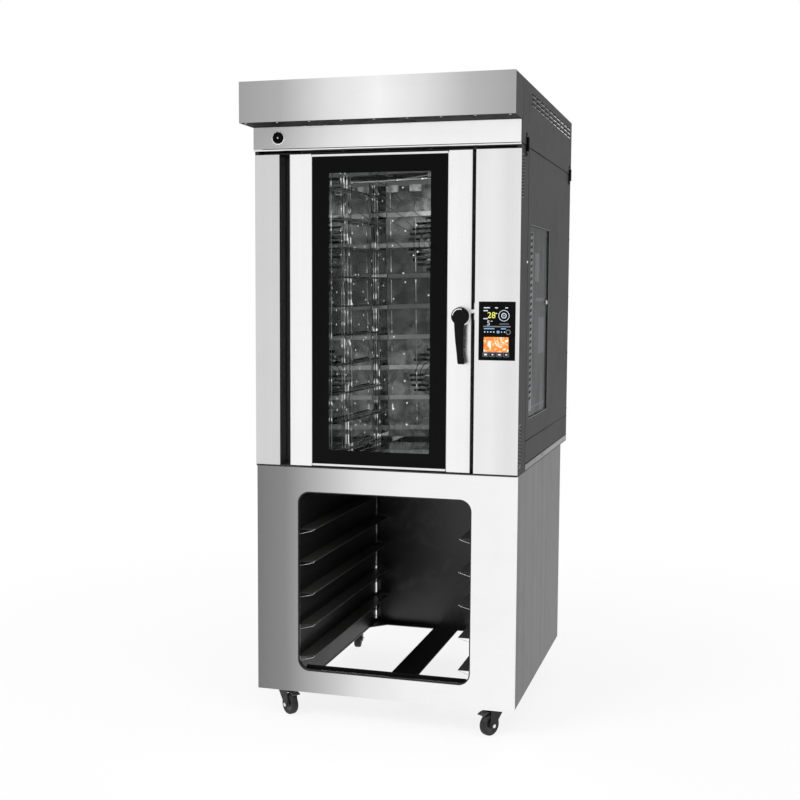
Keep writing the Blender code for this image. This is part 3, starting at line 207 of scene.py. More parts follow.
def edge_wear_and_highlight():
    """Bright, broken line along the sharp edges of a piece, partly edge wear and partly a painted edge
    highlight.
    """
    tree, given = group("edge wear and highlight", [("Radius", 0.0015), ("Breaks", 60.0)], [("Mask", "Float")])
    soft = add(tree, "ShaderNodeBevel", {"Radius": given["Radius"]}, samples=4).outputs[0]
    true = add(tree, "ShaderNodeNewGeometry").outputs["Normal"]
    facing = add(tree, "ShaderNodeVectorMath", {0: soft, 1: true}, operation="DOT_PRODUCT").outputs["Value"]
    edge = map_range(tree, facing, 0.995, 0.86, 0.0, 1.0)
    chips = noise(tree, object_place(tree), given["Breaks"], 3.0)
    return give(tree, {"Mask": product(tree, edge, map_range(tree, chips, 0.35, 0.6, 0.35, 1.0))})


def handling_marks():
    """Faint cloudy patches where hands and cloths have been."""
    tree, given = group("handling marks", [("Scale", 7.0)], [("Mask", "Float")])
    cloud = noise(tree, object_place(tree), given["Scale"], 6.0, Roughness=0.62, Distortion=0.8)
    return give(tree, {"Mask": map_range(tree, cloud, 0.5, 0.75, 0.0, 1.0)})


def settled_dust():
    """Dust on faces that look up, in soft patches."""
    tree, given = group("settled dust", [("Amount", 0.3)], [("Mask", "Float")])
    upward = axes(tree, add(tree, "ShaderNodeNewGeometry").outputs["Normal"])["Z"]
    lying = map_range(tree, upward, 0.4, 0.95, 0.0, 1.0)
    cloud = noise(tree, object_place(tree), 55.0, 6.0)
    patches = product(tree, map_range(tree, cloud, 0.35, 0.7, 0.7, 1.0), given["Amount"])
    return give(tree, {"Mask": product(tree, lying, patches)})


GROUPS = {made.name: made for made in (sheet_grain(), edge_wear_and_highlight(), handling_marks(), settled_dust())}


def effect(tree, name, **values):
    """Places a shared effect in a material and returns its outputs."""
    made = add(tree, "ShaderNodeGroup", node_tree=GROUPS[name])
    for key, value in values.items():
        made.inputs[key].default_value = value
    return made.outputs


def mask(tree, name, **values):
    return effect(tree, name, **values)["Mask"]


# Finishes

def blank(name):
    """A new material and its empty node tree."""
    made = bpy.data.materials.new(name)
    made.use_nodes = True
    made.node_tree.nodes.clear()
    return made, made.node_tree


def finished(made, values):
    """Ends a material in one Principled shader, with its constants and its incoming links."""
    shader = add(made.node_tree, "ShaderNodeBsdfPrincipled", values)
    add(made.node_tree, "ShaderNodeOutputMaterial", {"Surface": shader.outputs[0]})
    return made


def along(tree, axis, low, high, stops):
    """Tone that changes along one axis of the oven between two places."""
    part = axes(tree, object_place(tree))[axis]
    return ramp(tree, map_range(tree, part, low, high, 0, 1), stops)


def brushed_steel(name, tones, stretch=(1, 1, 0.012), roughness=0.3, axis="X", reach=(-1, 1), edge=0.9,
                  streaks=0.02, depth=0.03, metallic=1.0, lean=0.0):
    """Brushed sheet: tones along an axis that are painted reflections, streaks along the grain, hand marks,
    and bright edges that are partly wear and partly painted highlight.

    A lean above zero tips the sheet's shine downwards, as on a sheet that stands out at its top.
    """
    made, tree = blank(name)
    grain = effect(tree, "sheet grain", Stretch=stretch, Depth=depth)
    marks = mask(tree, "handling marks", Scale=6.0)
    drift = map_range(tree, grain["Broad"], 0.3, 0.7, 1 - streaks, 1 + streaks)
    lines = map_range(tree, grain["Fine"], 0.3, 0.7, 1 - streaks / 2, 1 + streaks / 2)
    # Tones along the axis, painted as the sheet's reflections.
    brushed = scaled(tree, scaled(tree, along(tree, axis, *reach, tones), drift), lines)
    dulled = mix(tree, product(tree, marks, 0.03), brushed, (0.5, 0.5, 0.49))
    # Lighter edges, partly wear and partly a painted edge highlight.
    edges = product(tree, mask(tree, "edge wear and highlight", Radius=0.0012), 0.8)
    rough = map_range(tree, grain["Broad"], 0.3, 0.7, roughness - 0.03, roughness + 0.03)
    surface = grain["Normal"]
    if lean:
        height = product(tree, axes(tree, object_place(tree))["Z"], lean)
        surface = bump(tree, 1.0, 1.0, height, Normal=surface)
    return finished(made, {"Metallic": metallic, "Base Color": mix(tree, edges, dulled, (edge, edge, edge)),
                           "Roughness": math_node(tree, "ADD", rough, product(tree, marks, 0.06)),
                           "Normal": surface})


def sheet_paint(name, tones, roughness=0.42, axis="X", reach=(-1, 1), edge=0.25, specular=0.35):
    """Satin paint on sheet: orange-peel surface, hand marks, dust on top faces, thin lighter edges that are
    partly wear and partly painted highlight.
    """
    made, tree = blank(name)
    place = object_place(tree)
    shade = map_range(tree, noise(tree, place, 3.0, 4.0), 0.3, 0.7, 0.985, 1.015)
    drifted = scaled(tree, along(tree, axis, *reach, tones), shade)
    # Lighter edges, partly wear and partly a painted edge highlight.
    edges = product(tree, mask(tree, "edge wear and highlight", Radius=0.001), 0.7)
    worn_and_highlit = mix(tree, edges, drifted, (edge, edge, edge))
    colour = mix(tree, mask(tree, "settled dust", Amount=0.1), worn_and_highlit, (0.42, 0.41, 0.39))
    marks = product(tree, mask(tree, "handling marks", Scale=5.0), 0.05)
    return finished(made, {"Base Color": colour, "Roughness": math_node(tree, "ADD", marks, roughness),
                           "Normal": bump(tree, 0.08, 0.0003, noise(tree, place, 420.0, 1.0)),
                           "Specular IOR Level": specular})


def moulded(name, tone, roughness=0.35, grain=900.0, edge=0.12, depth=0.15, smear=0.08, specular=0.5):
    """Moulded plastic or rubber: fine surface grain, dull patches and slightly lighter edges, partly wear and
    partly painted highlight.
    """
    made, tree = blank(name)
    pits = noise(tree, object_place(tree), grain, 2.0)
    marks = mask(tree, "handling marks", Scale=18.0)
    body = ramp(tree, pits, [(0.3, level(tone) * 0.8), (0.7, level(tone))])
    dulled = mix(tree, product(tree, marks, smear), body, (0.3, 0.3, 0.29))
    # Lighter edges, partly wear and partly a painted edge highlight.
    edges = product(tree, mask(tree, "edge wear and highlight", Radius=0.0012), 0.45)
    worn_and_highlit = mix(tree, edges, dulled, (edge, edge, edge))
    colour = mix(tree, mask(tree, "settled dust", Amount=smear * 1.5), worn_and_highlit, (0.4, 0.39, 0.37))
    rough = math_node(tree, "ADD", product(tree, marks, 0.2), roughness)
    return finished(made, {"Base Color": colour, "Roughness": rough, "Specular IOR Level": specular,
                           "Normal": bump(tree, depth, 0.0003, pits)})


def pane(name, tint, ior):
    """Clear or tinted glass with a trace of wiping marks."""
    made, tree = blank(name)
    marks = mask(tree, "handling marks", Scale=9.0)
    colour = mix(tree, marks, tint, tuple(part * 0.94 for part in tint))
    return finished(made, {"Base Color": colour, "Roughness": 0.0, "Transmission Weight": 1.0, "IOR": ior})


def clouded(name, scale, detail, glow, strength, roughness=0.2, body=None, **more):
    """A lit surface, uneven in soft patches; glow and body are ramps of its light and its own tone."""
    made, tree = blank(name)
    cloud = noise(tree, object_place(tree), scale, detail, **more)
    light = ramp(tree, cloud, glow)
    own = ramp(tree, cloud, body) if body else scaled(tree, light, 0.3)
    return finished(made, {"Emission Color": light, "Base Color": own, "Roughness": roughness,
                           "Emission Strength": strength})


def lit(name, colour, strength):
    """A lit part of the display, a little uneven as behind a screen."""
    dim = tuple(part * 0.82 for part in colour)
    return clouded(name, 240.0, 1.0, [(0.35, dim), (0.65, colour)], strength)


def painted_glints(tree, scale, size, share):
    """Small round bright spots, one in some of the cells of a loose pattern; they glow as painted glints."""
    place = axes(tree, object_place(tree))
    flat = add(tree, "ShaderNodeCombineXYZ", {0: math_node(tree, "ADD", place["X"], place["Y"]),
                                              1: place["Z"]}).outputs[0]
    cells = add(tree, "ShaderNodeTexVoronoi", {"Vector": flat, "Scale": scale},
                voronoi_dimensions="2D").outputs
    spot = map_range(tree, cells["Distance"], size * 0.5, size, 1.0, 0.0)
    chosen = add(tree, "ShaderNodeSeparateColor", {0: cells["Color"]}).outputs[0]
    return product(tree, spot, math_node(tree, "GREATER_THAN", chosen, 1 - share))


def chamber_sheet():
    """Bright liner sheet: mirror-like with soft clouds, dull stains and a few glowing spots painted as
    glints.
    """
    made, tree = blank("chamber steel")
    grain = effect(tree, "sheet grain", Stretch=(0.05, 0.05, 1.0), Depth=0.0)
    marks = mask(tree, "handling marks", Scale=9.0)
    tone = ramp(tree, grain["Broad"], levels((0.3, 170), (0.5, 190), (0.72, 205)))
    return finished(made, {"Base Color": mix(tree, product(tree, marks, 0.3), tone, (0.2, 0.19, 0.17)),
                           "Roughness": map_range(tree, marks, 0, 1, 0.02, 0.08), "Metallic": 1.0,
                           "Emission Color": GLINT_GLOW_TONE, "Emission Strength": painted_glints(tree, 19.0, 0.085, 0.3)})


def baffle_sheet():
    """Fan baffle: sheet behind darker in soft clouds, its level strips kept bright, all of it painted darker
    across the middle of the chamber's height as shade, with glowing spots painted as glints.
    """
    made, tree = blank("baffle steel")
    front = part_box("fan_baffle")[0].y
    strip = along(tree, "Y", front + 0.0018, front + 0.0024, [(0, 1.0), (1, 0.0)])
    grain = effect(tree, "sheet grain", Stretch=(0.04, 1.0, 1.0), Depth=0.02)
    marks = mask(tree, "handling marks", Scale=11.0)
    cloud = noise(tree, object_place(tree), 17.0, 5.0, Distortion=0.6)
    dark = ramp(tree, cloud, levels((0.38, 118), (0.5, 164), (0.64, 206)))
    bright = ramp(tree, grain["Broad"], levels((0.3, 236), (0.7, 250)))
    # Painted shade: the chamber's shade ramp darkens the sheet most across the middle of its height.
    sheet = scaled(tree, mix(tree, strip, dark, bright), along(tree, "Z", *CHAMBER_REACH, CHAMBER_SHADE))
    return finished(made, {"Base Color": sheet, "Roughness": map_range(tree, marks, 0, 1, 0.22, 0.38),
                           "Metallic": 0.3, "Normal": grain["Normal"], "Emission Color": GLINT_GLOW_TONE,
                           "Emission Strength": painted_glints(tree, 21.0, 0.085, 0.25)})


def wire_with_painted_glints():
    """Polished wire, painted bright in short lengths as highlights that also glow as glints, and dull between
    them.
    """
    made, tree = blank("ladder wire")
    place = object_place(tree)
    glint_pattern = noise(tree, place, 17.0, 3.0)
    painted_gleam = ramp(tree, noise(tree, place, 36.0, 1.0), [(0.56, 0.0), (0.64, 0.95)])
    return finished(made, {"Base Color": ramp(tree, glint_pattern, levels((0.42, 110), (0.54, 205), (0.62, 253))),
                           "Emission Color": painted_gleam, "Emission Strength": 0.8, "Metallic": 0.4,
                           "Roughness": map_range(tree, glint_pattern, 0.3, 0.7, 0.4, 0.2)})


def rack_rear_sheet():
    """Rear sheet of the rack: darker on its inside face, with paler smudges there, and dull steel outside."""
    made, tree = blank("rack rear steel")
    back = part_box("rack_back_panel")[1].y
    outside = along(tree, "Y", back - 0.0012, back - 0.0006, [(0, 0.0), (1, 1.0)])
    smudges = mask(tree, "handling marks", Scale=8.0)
    grain = effect(tree, "sheet grain", Stretch=(1, 1, 0.02), Depth=0.03)
    inside = ramp(tree, smudges, levels((0, 64), (1, 78)))
    dull = ramp(tree, grain["Broad"], levels((0.3, 110), (0.7, 113)))
    return finished(made, {"Base Color": mix(tree, outside, inside, dull), "Metallic": 1.0,
                           "Roughness": map_range(tree, smudges, 0, 1, 0.3, 0.5), "Normal": grain["Normal"]})


def wool():
    """Mineral wool: matted fibres in a dull straw tone."""
    made, tree = blank("mineral wool")
    fibre = noise(tree, object_place(tree), 160.0, 6.0, Distortion=2.0)
    straw = ramp(tree, fibre, [(0.3, (0.3, 0.27, 0.18)), (0.7, (0.6, 0.55, 0.4))])
    return finished(made, {"Base Color": straw, "Roughness": 0.95, "Normal": bump(tree, 0.6, 0.003, fibre)})


def cast_metal():
    """Sand-cast aluminium of the fan motors."""
    made, tree = blank("cast aluminium")
    sand = noise(tree, object_place(tree), 380.0, 4.0)
    body = ramp(tree, sand, [(0.3, 0.3), (0.7, 0.46)])
    # Lighter edges, partly wear and partly a painted edge highlight.
    colour = mix(tree, mask(tree, "edge wear and highlight", Radius=0.002), body, (0.6, 0.61, 0.62))
    return finished(made, {"Base Color": colour, "Roughness": map_range(tree, sand, 0, 1, 0.45, 0.7),
                           "Metallic": 0.9, "Normal": bump(tree, 0.4, 0.0006, sand)})


WIDTH = (CAD_LOW.x, CAD_HIGH.x)
WINDOW_REACH = (1.08, 1.765)
CHAMBER_REACH = (0.94, 1.96)
CHAMBER_SHADE = [(0, 1.0), (0.3, 1.0), (0.45, 0.36), (0.6, 0.16), (0.7, 0.26), (0.8, 0.52), (1, 0.62)]
# Colour of the glowing spots painted as glints on the chamber's sheets.
GLINT_GLOW_TONE = (0.95, 0.95, 0.95, 1)
TILE_TONES = [(0.34, (0.9, 0.88, 0.86)), (0.42, (0.92, 0.36, 0.08)), (0.5, (0.75, 0.16, 0.01)),
              (0.58, (0.95, 0.36, 0.06)), (0.68, (0.85, 0.8, 0.76))]
LEVEL_GRAIN = (0.012, 1, 1)
# Tones across the oven's width for the front, hood, fascia and rack front, painted as the studio's
# reflections in their steel.
PANEL_REFLECTION_TONES = levels((0, 213), (0.1, 213), (0.13, 246), (0.8, 247), (0.85, 236), (0.9, 240), (0.95, 230),
                     (1, 232))
HOOD_REFLECTION_TONES = levels((0, 166), (0.16, 182), (0.33, 229), (0.52, 251), (0.68, 230), (0.84, 191), (1, 171))
FASCIA_REFLECTION_TONES = levels((0, 166), (0.1, 176), (0.3, 223), (0.45, 241), (1, 242))
RACK_REFLECTION_TONES = levels((0, 122), (0.12, 138), (0.3, 196), (0.42, 229), (0.6, 243), (1, 247))

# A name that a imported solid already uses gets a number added; the key leaves that out.
FINISHES = {made.name.split(".")[0].replace(" ", "_"): made for made in (
    brushed_steel("front steel", PANEL_REFLECTION_TONES, reach=WIDTH, edge=0.97),
    brushed_steel("hood steel", HOOD_REFLECTION_TONES, LEVEL_GRAIN, reach=WIDTH),
    brushed_steel("fascia steel", FASCIA_REFLECTION_TONES, LEVEL_GRAIN, 0.14, reach=WIDTH, metallic=0.95, lean=0.09),
    brushed_steel("rack front steel", RACK_REFLECTION_TONES, LEVEL_GRAIN, reach=WIDTH, streaks=0.006, depth=0.01),
    # Sides of the rack, painted much darker than its front as the shade on them.
    brushed_steel("rack side steel", levels((0, 100), (1, 101)), roughness=0.45, edge=0.3, streaks=0.004,
                  depth=0.001),
    brushed_steel("bright chrome", levels(232), roughness=0.12, depth=0.02, edge=1.0),
    brushed_steel("zinc plate", levels((0, 200), (1, 206)), roughness=0.34, edge=0.85),
    brushed_steel("dim zinc", levels(120), roughness=0.4, edge=0.3),
    brushed_steel("ledge zinc", levels(126), roughness=0.4, edge=0.4),
    brushed_steel("window rail", levels((0, 176), (1, 160)), (1, 1, 0.15), 0.5, "Z", WINDOW_REACH, 0.5, 0.4),
    brushed_steel("window sheet", levels((0, 112), (0.55, 104), (1, 84)), (1, 1, 0.12), 0.5, "Z",
                  WINDOW_REACH, 0.5, 0.55),
    brushed_steel("ladder sheet", levels(84), (1, 0.02, 1), 0.25, edge=0.25, streaks=0.1),
    brushed_steel("baffle strip", levels(196), (0.02, 1, 1), metallic=0.3),
    sheet_paint("dark paint", levels(52), 0.55, edge=0.1, specular=0.1),
    sheet_paint("post paint", levels(46), 0.55, edge=0.1, specular=0.1),
    sheet_paint("vent paint", levels(96), 0.55, edge=0.1, specular=0.1),
    sheet_paint("black satin steel", levels(26), edge=0.1, specular=0.25),
    # Painted highlight for the rack runners: bright at their front ends, a lighter grey behind.
    sheet_paint("runner edge", levels((0, 215), (0.012, 190), (0.02, 70), (1, 70)), axis="Y",
                reach=(-0.48, 0.46), edge=0.2),
    # Painted highlight for the louvre lips, brighter towards the rear.
    sheet_paint("lip paint", levels((0, 95), (0.4, 150), (0.7, 235), (1, 240)), axis="Y",
                reach=(-0.35, 0.55), edge=0.8),
    moulded("black plastic", 20, 0.3),
    moulded("gloss black", 9, 0.07, edge=0.012, depth=0.0, smear=0.004, specular=0.04),
    moulded("lever black", 7, 0.3, edge=0.012, depth=0.05, smear=0.004, specular=0.1),
    # Black for real seams and clips, and also for shade painted as dark pieces: trim shadow lines, canopy
    # underside, post and duct slots.
    moulded("seam black", 8, 0.6, edge=0.008, smear=0.004, specular=0.1),
    moulded("printed black", 7, 0.5, edge=0.006, depth=0.0, smear=0.002, specular=0.05),
    # Pale finish painted on as highlights: the lever boss's arc, the button's dot and ring, the canopy
    # spacers and the side window's knob.
    moulded("pale mark", 236, 0.4, edge=0.9, depth=0.0),
    moulded("wheel rubber", 26, 0.7, grain=500.0, depth=0.3),
    moulded("silicone", 38, 0.6, grain=700.0),
    pane("door glass", (0.96, 0.975, 0.97), 1.13),
    pane("tinted glass", (0.7, 0.72, 0.72), 1.012),
    pane("smear film", (0.6, 0.6, 0.6), 1.01),
    clouded("lamp glass", 60.0, 4.0, [(0.3, (0.8, 0.8, 0.76)), (0.7, (1, 1, 0.97))], 0.1, 0.35,
            [(0.3, 0.4), (0.7, 0.48)]),
    clouded("soft lamp", 45.0, 3.0, [(0.35, 0.25), (0.6, 0.95)], 0.3, 0.4, [(0.35, 0.3), (0.6, 0.5)]),
    lit("lit white", (0.7, 0.76, 0.86), 0.7), lit("lit yellow", (0.86, 0.84, 0.16), 0.9),
    lit("lit grey", (0.17, 0.19, 0.22), 0.7), lit("lit blue", (0.2, 0.42, 0.7), 0.7),
    clouded("lit tile", 34.0, 2.0, TILE_TONES, 0.8, Distortion=1.5),
    chamber_sheet(), baffle_sheet(), wire_with_painted_glints(), rack_rear_sheet(), wool(), cast_metal())}
FINISHES["zinc"] = FINISHES["zinc_plate"]
FINISHES["black_steel"] = FINISHES["black_satin_steel"]
NODE_FINISHES = {"fan_baffle": "baffle_steel", "rack_back_panel": "rack_rear_steel",
                 "fascia_strip": "fascia_steel", "front_post_right": "post_paint",
                 "front_post_left": "post_paint", "latch_bolt": "bright_chrome",
                 "hinge_top": "black_steel", "hinge_bottom": "black_steel"}


def dress_nodes():
    """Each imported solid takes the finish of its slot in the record, or its own variant of it."""
    for part in frame["record"]["subparts"]:
        node = part["node"]
        NODES[node].data.materials.clear()
        NODES[node].data.materials.append(FINISHES[NODE_FINISHES.get(node, part["material_slot"])])


# Camera, lamps, world and floor

def camera():
    """Eye-level view from a little to the right of the front."""
    place = Vector((1.1961, -4.4955, 1.5121))
    turn, tip, roll = math.radians(15.91), math.radians(90 - 4.884), math.radians(0.318)
    made = bpy.data.objects.new("camera", bpy.data.cameras.new("camera"))
    bpy.context.scene.collection.objects.link(made)
    made.data.lens, made.data.sensor_width = 54.995, 36.0
    made.matrix_world = (Matrix.Translation(place) @ Matrix.Rotation(turn, 4, "Z")
                         @ Matrix.Rotation(tip, 4, "X") @ Matrix.Rotation(roll, 4, "Z"))
    bpy.context.scene.camera = made


def lamp(name, place, aim, size, power):
    """A soft square lamp that looks at aim and does not show in glass or reflections."""
    light = bpy.data.lights.new(name, "AREA")
    light.size, light.energy = size, power
    made = bpy.data.objects.new(name, light)
    made.location = place
    made.rotation_euler = (Vector(aim) - Vector(place)).to_track_quat("-Z", "Y").to_euler()
    made.visible_glossy = made.visible_transmission = False
    bpy.context.scene.collection.objects.link(made)


def lamps():
    """Three lamps in front, one behind, and two small ones in the chamber and before the rack."""
    middle = (0.0, -0.2, 1.2)
    lamp("key lamp", (-3.2, -5.2, 4.4), middle, 3.0, 210)
    lamp("fill lamp", (4.6, -3.4, 3.0), middle, 3.0, 80)
    lamp("low lamp", (-0.6, -4.6, 0.5), (0.0, -0.5, 1.9), 2.4, 42)
    lamp("rear lamp", (1.0, 5.5, 4.0), middle, 3.0, 110)
    x, y, _ = middle_of("chamber_lamp")
    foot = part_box("chamber_lamp")[0].z
    lamp("chamber glow", (x, y, foot - 0.006), (x, y - 0.1, foot - 0.6), 0.08, 1.8)
    lamp("rack fill", (0.0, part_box("rack_top_panel")[0].y - 0.9, 0.9), (0.0, 0.3, 0.5), 0.8, 6)


def seen_rays(tree):
    """1 for rays that come straight from the eye, a reflection or a pane of glass."""
    path = add(tree, "ShaderNodeLightPath").outputs
    either = math_node(tree, "MAXIMUM", path["Is Camera Ray"], path["Is Glossy Ray"])
    return math_node(tree, "MAXIMUM", either, path["Is Transmission Ray"])


def surroundings():
    """White studio: soft light on the object, and soft light and dark bands in its reflections."""
    world = bpy.data.worlds.new("studio")
    bpy.context.scene.world = world
    world.use_nodes = True
    tree = world.node_tree
    tree.nodes.clear()
    direction = add(tree, "ShaderNodeTexCoord").outputs["Generated"]
    raised = map_range(tree, axes(tree, direction)["Z"], -1, 1, 0, 1)
    tiers = ramp(tree, raised, [(0, 0.95), (0.45, 1), (0.66, 1), (0.8, 0.78), (0.9, 0.85), (1, 0.97)])
    compass = add(tree, "ShaderNodeTexGradient", {"Vector": direction}, gradient_type="RADIAL")
    cards = ramp(tree, compass.outputs["Fac"], [
        (0, 0.95), (0.06, 0.95), (0.085, 0.4), (0.11, 0.95), (0.16, 1), (0.34, 1), (0.37, 0.95),
        (0.39, 0.4), (0.415, 0.95), (0.5, 1), (0.7, 0.95), (0.86, 0.9), (1, 0.95)])
    mirrored = mix(tree, 1.0, tiers, cards, blend_type="MULTIPLY")
    glossy = add(tree, "ShaderNodeLightPath").outputs["Is Glossy Ray"]
    colour = mix(tree, glossy, (1, 1, 1), mirrored)
    shown = add(tree, "ShaderNodeBackground", {"Color": colour, "Strength": 1.0}).outputs[0]
    soft = add(tree, "ShaderNodeBackground", {"Color": (1, 1, 1, 1), "Strength": 0.55}).outputs[0]
    both = add(tree, "ShaderNodeMixShader", {0: seen_rays(tree), 1: soft, 2: shown}).outputs[0]
    add(tree, "ShaderNodeOutputWorld", {"Surface": both})


def floor():
    """Pale floor that keeps a soft shadow under the object and fades into the background."""
    shape = bmesh.new()
    bmesh.ops.create_grid(shape, x_segments=8, y_segments=8, size=30.0)
    mesh = bpy.data.meshes.new("floor")
    shape.to_mesh(mesh)
    shape.free()
    made = bpy.data.objects.new("floor", mesh)
    bpy.context.scene.collection.objects.link(made)
    material, tree = blank("floor paint")
    place = object_place(tree)
    away = add(tree, "ShaderNodeVectorMath", {0: place}, operation="LENGTH").outputs["Value"]
    bare = product(tree, map_range(tree, away, 0.9, 3.0, 0.84, 1.0), seen_rays(tree))
    tone = ramp(tree, noise(tree, place, 40.0, 3.0), [(0, 0.86), (1, 0.92)])
    paint = add(tree, "ShaderNodeBsdfPrincipled", {"Base Color": tone, "Roughness": 0.8}).outputs[0]
    glow = add(tree, "ShaderNodeEmission", {"Color": (1, 1, 1, 1), "Strength": 1.0}).outputs[0]
    both = add(tree, "ShaderNodeMixShader", {0: bare, 1: paint, 2: glow}).outputs[0]
    add(tree, "ShaderNodeOutputMaterial", {"Surface": both})
    mesh.materials.append(material)


# Shapes, each a new mesh lying on its own ground plane

def placed(shape, facing, place, turn=0.0):
    """Stands a shape on a side of the oven, with its own up-axis pointing out at place."""
    matrix = Matrix.Translation(place) @ FACINGS[facing] @ Matrix.Rotation(turn, 4, "Z")
    bmesh.ops.transform(shape, matrix=matrix, verts=shape.verts)
    return shape


def soften(shape, geom, offset, steps=2, affect="EDGES"):
    """Rounds off edges, or the corners of a flat outline."""
    bmesh.ops.bevel(shape, geom=geom, offset=offset, affect=affect, segments=steps, profile=0.5, material=-1)


def rim_of(shape, thick):
    """Edges that lie wholly on a shape's upper side."""
    return [edge for edge in shape.edges if min(vert.co.z for vert in edge.verts) > thick - 1e-6]


def slab(width, height, thick, corner=0.0, ease=0.0, steps=5):
    """A plate centred over the origin, with rounded corners and an eased upper rim."""
    shape = bmesh.new()
    bmesh.ops.create_cube(shape, size=1.0)
    bmesh.ops.scale(shape, vec=(width, height, thick), verts=shape.verts)
    bmesh.ops.translate(shape, vec=(0, 0, thick / 2), verts=shape.verts)
    if corner:
        upright = [edge for edge in shape.edges if abs(edge.verts[0].co.z - edge.verts[1].co.z) > thick / 2]
        soften(shape, upright, corner, steps)
    if ease:
        soften(shape, rim_of(shape, thick), ease)
    return shape


def rounded_outline(shape, span, corner, steps, keep_face=False):
    """A flat rounded rectangle over span (left, foot, right, top); returns its new edges."""
    known = set(shape.verts)
    left, foot, right, top = span
    corners = bmesh.ops.create_grid(shape, x_segments=1, y_segments=1, size=0.5)["verts"]
    bmesh.ops.scale(shape, vec=(right - left, top - foot, 1), verts=corners)
    bmesh.ops.translate(shape, vec=((left + right) / 2, (foot + top) / 2, 0), verts=corners)
    if corner:
        soften(shape, corners, corner, steps, "VERTICES")
    fresh = {vert for vert in shape.verts if vert not in known}
    if not keep_face:
        inner = [face for face in shape.faces if face.verts[0] in fresh]
        bmesh.ops.delete(shape, geom=inner, context="FACES_ONLY")
    return [edge for edge in shape.edges if edge.verts[0] in fresh]


def surround(outer, opening, thick, corner, opening_corner, ease=0.0, steps=5):
    """A flat frame between two rounded outlines, raised to its thickness."""
    shape = bmesh.new()
    edges = rounded_outline(shape, outer, corner, steps)
    edges += rounded_outline(shape, opening, opening_corner, steps)
    bmesh.ops.bridge_loops(shape, edges=edges)
    made = bmesh.ops.extrude_face_region(shape, geom=list(shape.faces))
    lifted = [item for item in made["geom"] if isinstance(item, bmesh.types.BMVert)]
    bmesh.ops.translate(shape, vec=(0, 0, thick), verts=lifted)
    bmesh.ops.recalc_face_normals(shape, faces=shape.faces)
    if ease:
        rim = [edge for edge in rim_of(shape, thick)
               if len({round(face.normal.z, 2) for face in edge.link_faces}) > 1]
        soften(shape, rim, ease)
    return shape


def turned(profile, sides=32, closed=False):
    """A turned shape: (radius, height) points spun about the up-axis."""
    shape = bmesh.new()
    verts = [shape.verts.new((radius, 0.0, height)) for radius, height in profile]
    ends = verts[1:] + verts[:1] if closed else verts[1:]
    edges = [shape.edges.new(pair) for pair in zip(verts, ends)]
    bmesh.ops.spin(shape, geom=verts + edges, cent=(0, 0, 0), axis=(0, 0, 1), angle=math.tau,
                   steps=sides, use_merge=True)
    bmesh.ops.remove_doubles(shape, verts=shape.verts, dist=1e-6)
    bmesh.ops.recalc_face_normals(shape, faces=shape.faces)
    return shape


def peg(radius, length, sides=16):
    """A round bar standing on its ground plane, with eased ends."""
    soft = radius * 0.2
    return turned([(0, 0), (radius - soft, 0), (radius, soft), (radius, length - soft),
                   (radius - soft, length), (0, length)], sides)


def pointed(shape, place, axis):
    """Moves a shape to place and turns its own up-axis to point along axis."""
    turn = Vector((0, 0, 1)).rotation_difference(axis).to_matrix().to_4x4()
    bmesh.ops.transform(shape, matrix=Matrix.Translation(place) @ turn, verts=shape.verts)
    return shape


def rod(start, end, radius, sides=12):
    """A round bar between two places."""
    axis = Vector(end) - Vector(start)
    return pointed(peg(radius, axis.length, sides), start, axis)


def ring(radius, thickness):
    """A round wire ring lying on its middle plane."""
    turns = [math.tau * step / 8 for step in range(8)]
    return turned([(radius + thickness * math.cos(turn), thickness * math.sin(turn)) for turn in turns],
                  48, closed=True)


def arc_rod(radius, thickness, start, stop, steps=20, around=10):
    """Part of a wire ring, from one angle in degrees to another, with closed ends."""
    shape = bmesh.new()
    turn = math.radians(stop - start)
    first = Matrix.Rotation(math.radians(start), 4, "Z") @ Matrix.Translation((radius, 0, 0))
    bmesh.ops.create_circle(shape, cap_ends=True, segments=around, radius=thickness,
                            matrix=first @ Matrix.Rotation(math.pi / 2, 4, "X"))
    bmesh.ops.spin(shape, geom=list(shape.faces), cent=(0, 0, 0), axis=(0, 0, 1), angle=turn, steps=steps)
    bmesh.ops.recalc_face_normals(shape, faces=shape.faces)
    return shape


def hex_nut(across, thick, bolt=0.0):
    """A hexagon nut with a chamfered top, and the end of its bolt if it shows."""
    shape = bmesh.new()
    radius = across / math.sqrt(3)
    bmesh.ops.create_cone(shape, cap_ends=True, segments=6, radius1=radius, radius2=radius, depth=thick,
                          matrix=Matrix.Translation((0, 0, thick / 2)))
    soften(shape, rim_of(shape, thick), thick * 0.15)
    return merged([shape, placed(peg(bolt, thick * 0.35), "top", (0, 0, thick))]) if bolt else shape


def lofted(sections, corner=0.6, steps=4):
    """A solid through flat rounded sections, each (centre, half width, half depth), grown one by one."""
    shape = bmesh.new()
    rounded_outline(shape, (-1, -1, 1, 1), corner, steps, keep_face=True)
    face = list(shape.faces)[0]
    was_centre, was_width, was_depth = Vector((0, 0, 0)), 1.0, 1.0
    for index, (centre, half_width, half_depth) in enumerate(sections):
        if index:
            made = bmesh.ops.extrude_face_region(shape, geom=[face])["geom"]
            face = [item for item in made if isinstance(item, bmesh.types.BMFace)][0]
        verts = list(face.verts)
        bmesh.ops.translate(shape, vec=-was_centre, verts=verts)
        bmesh.ops.scale(shape, vec=(half_width / was_width, half_depth / was_depth, 1), verts=verts)
        was_centre, was_width, was_depth = Vector(centre), half_width, half_depth
        bmesh.ops.translate(shape, vec=was_centre, verts=verts)
    bmesh.ops.recalc_face_normals(shape, faces=shape.faces)
    return shape


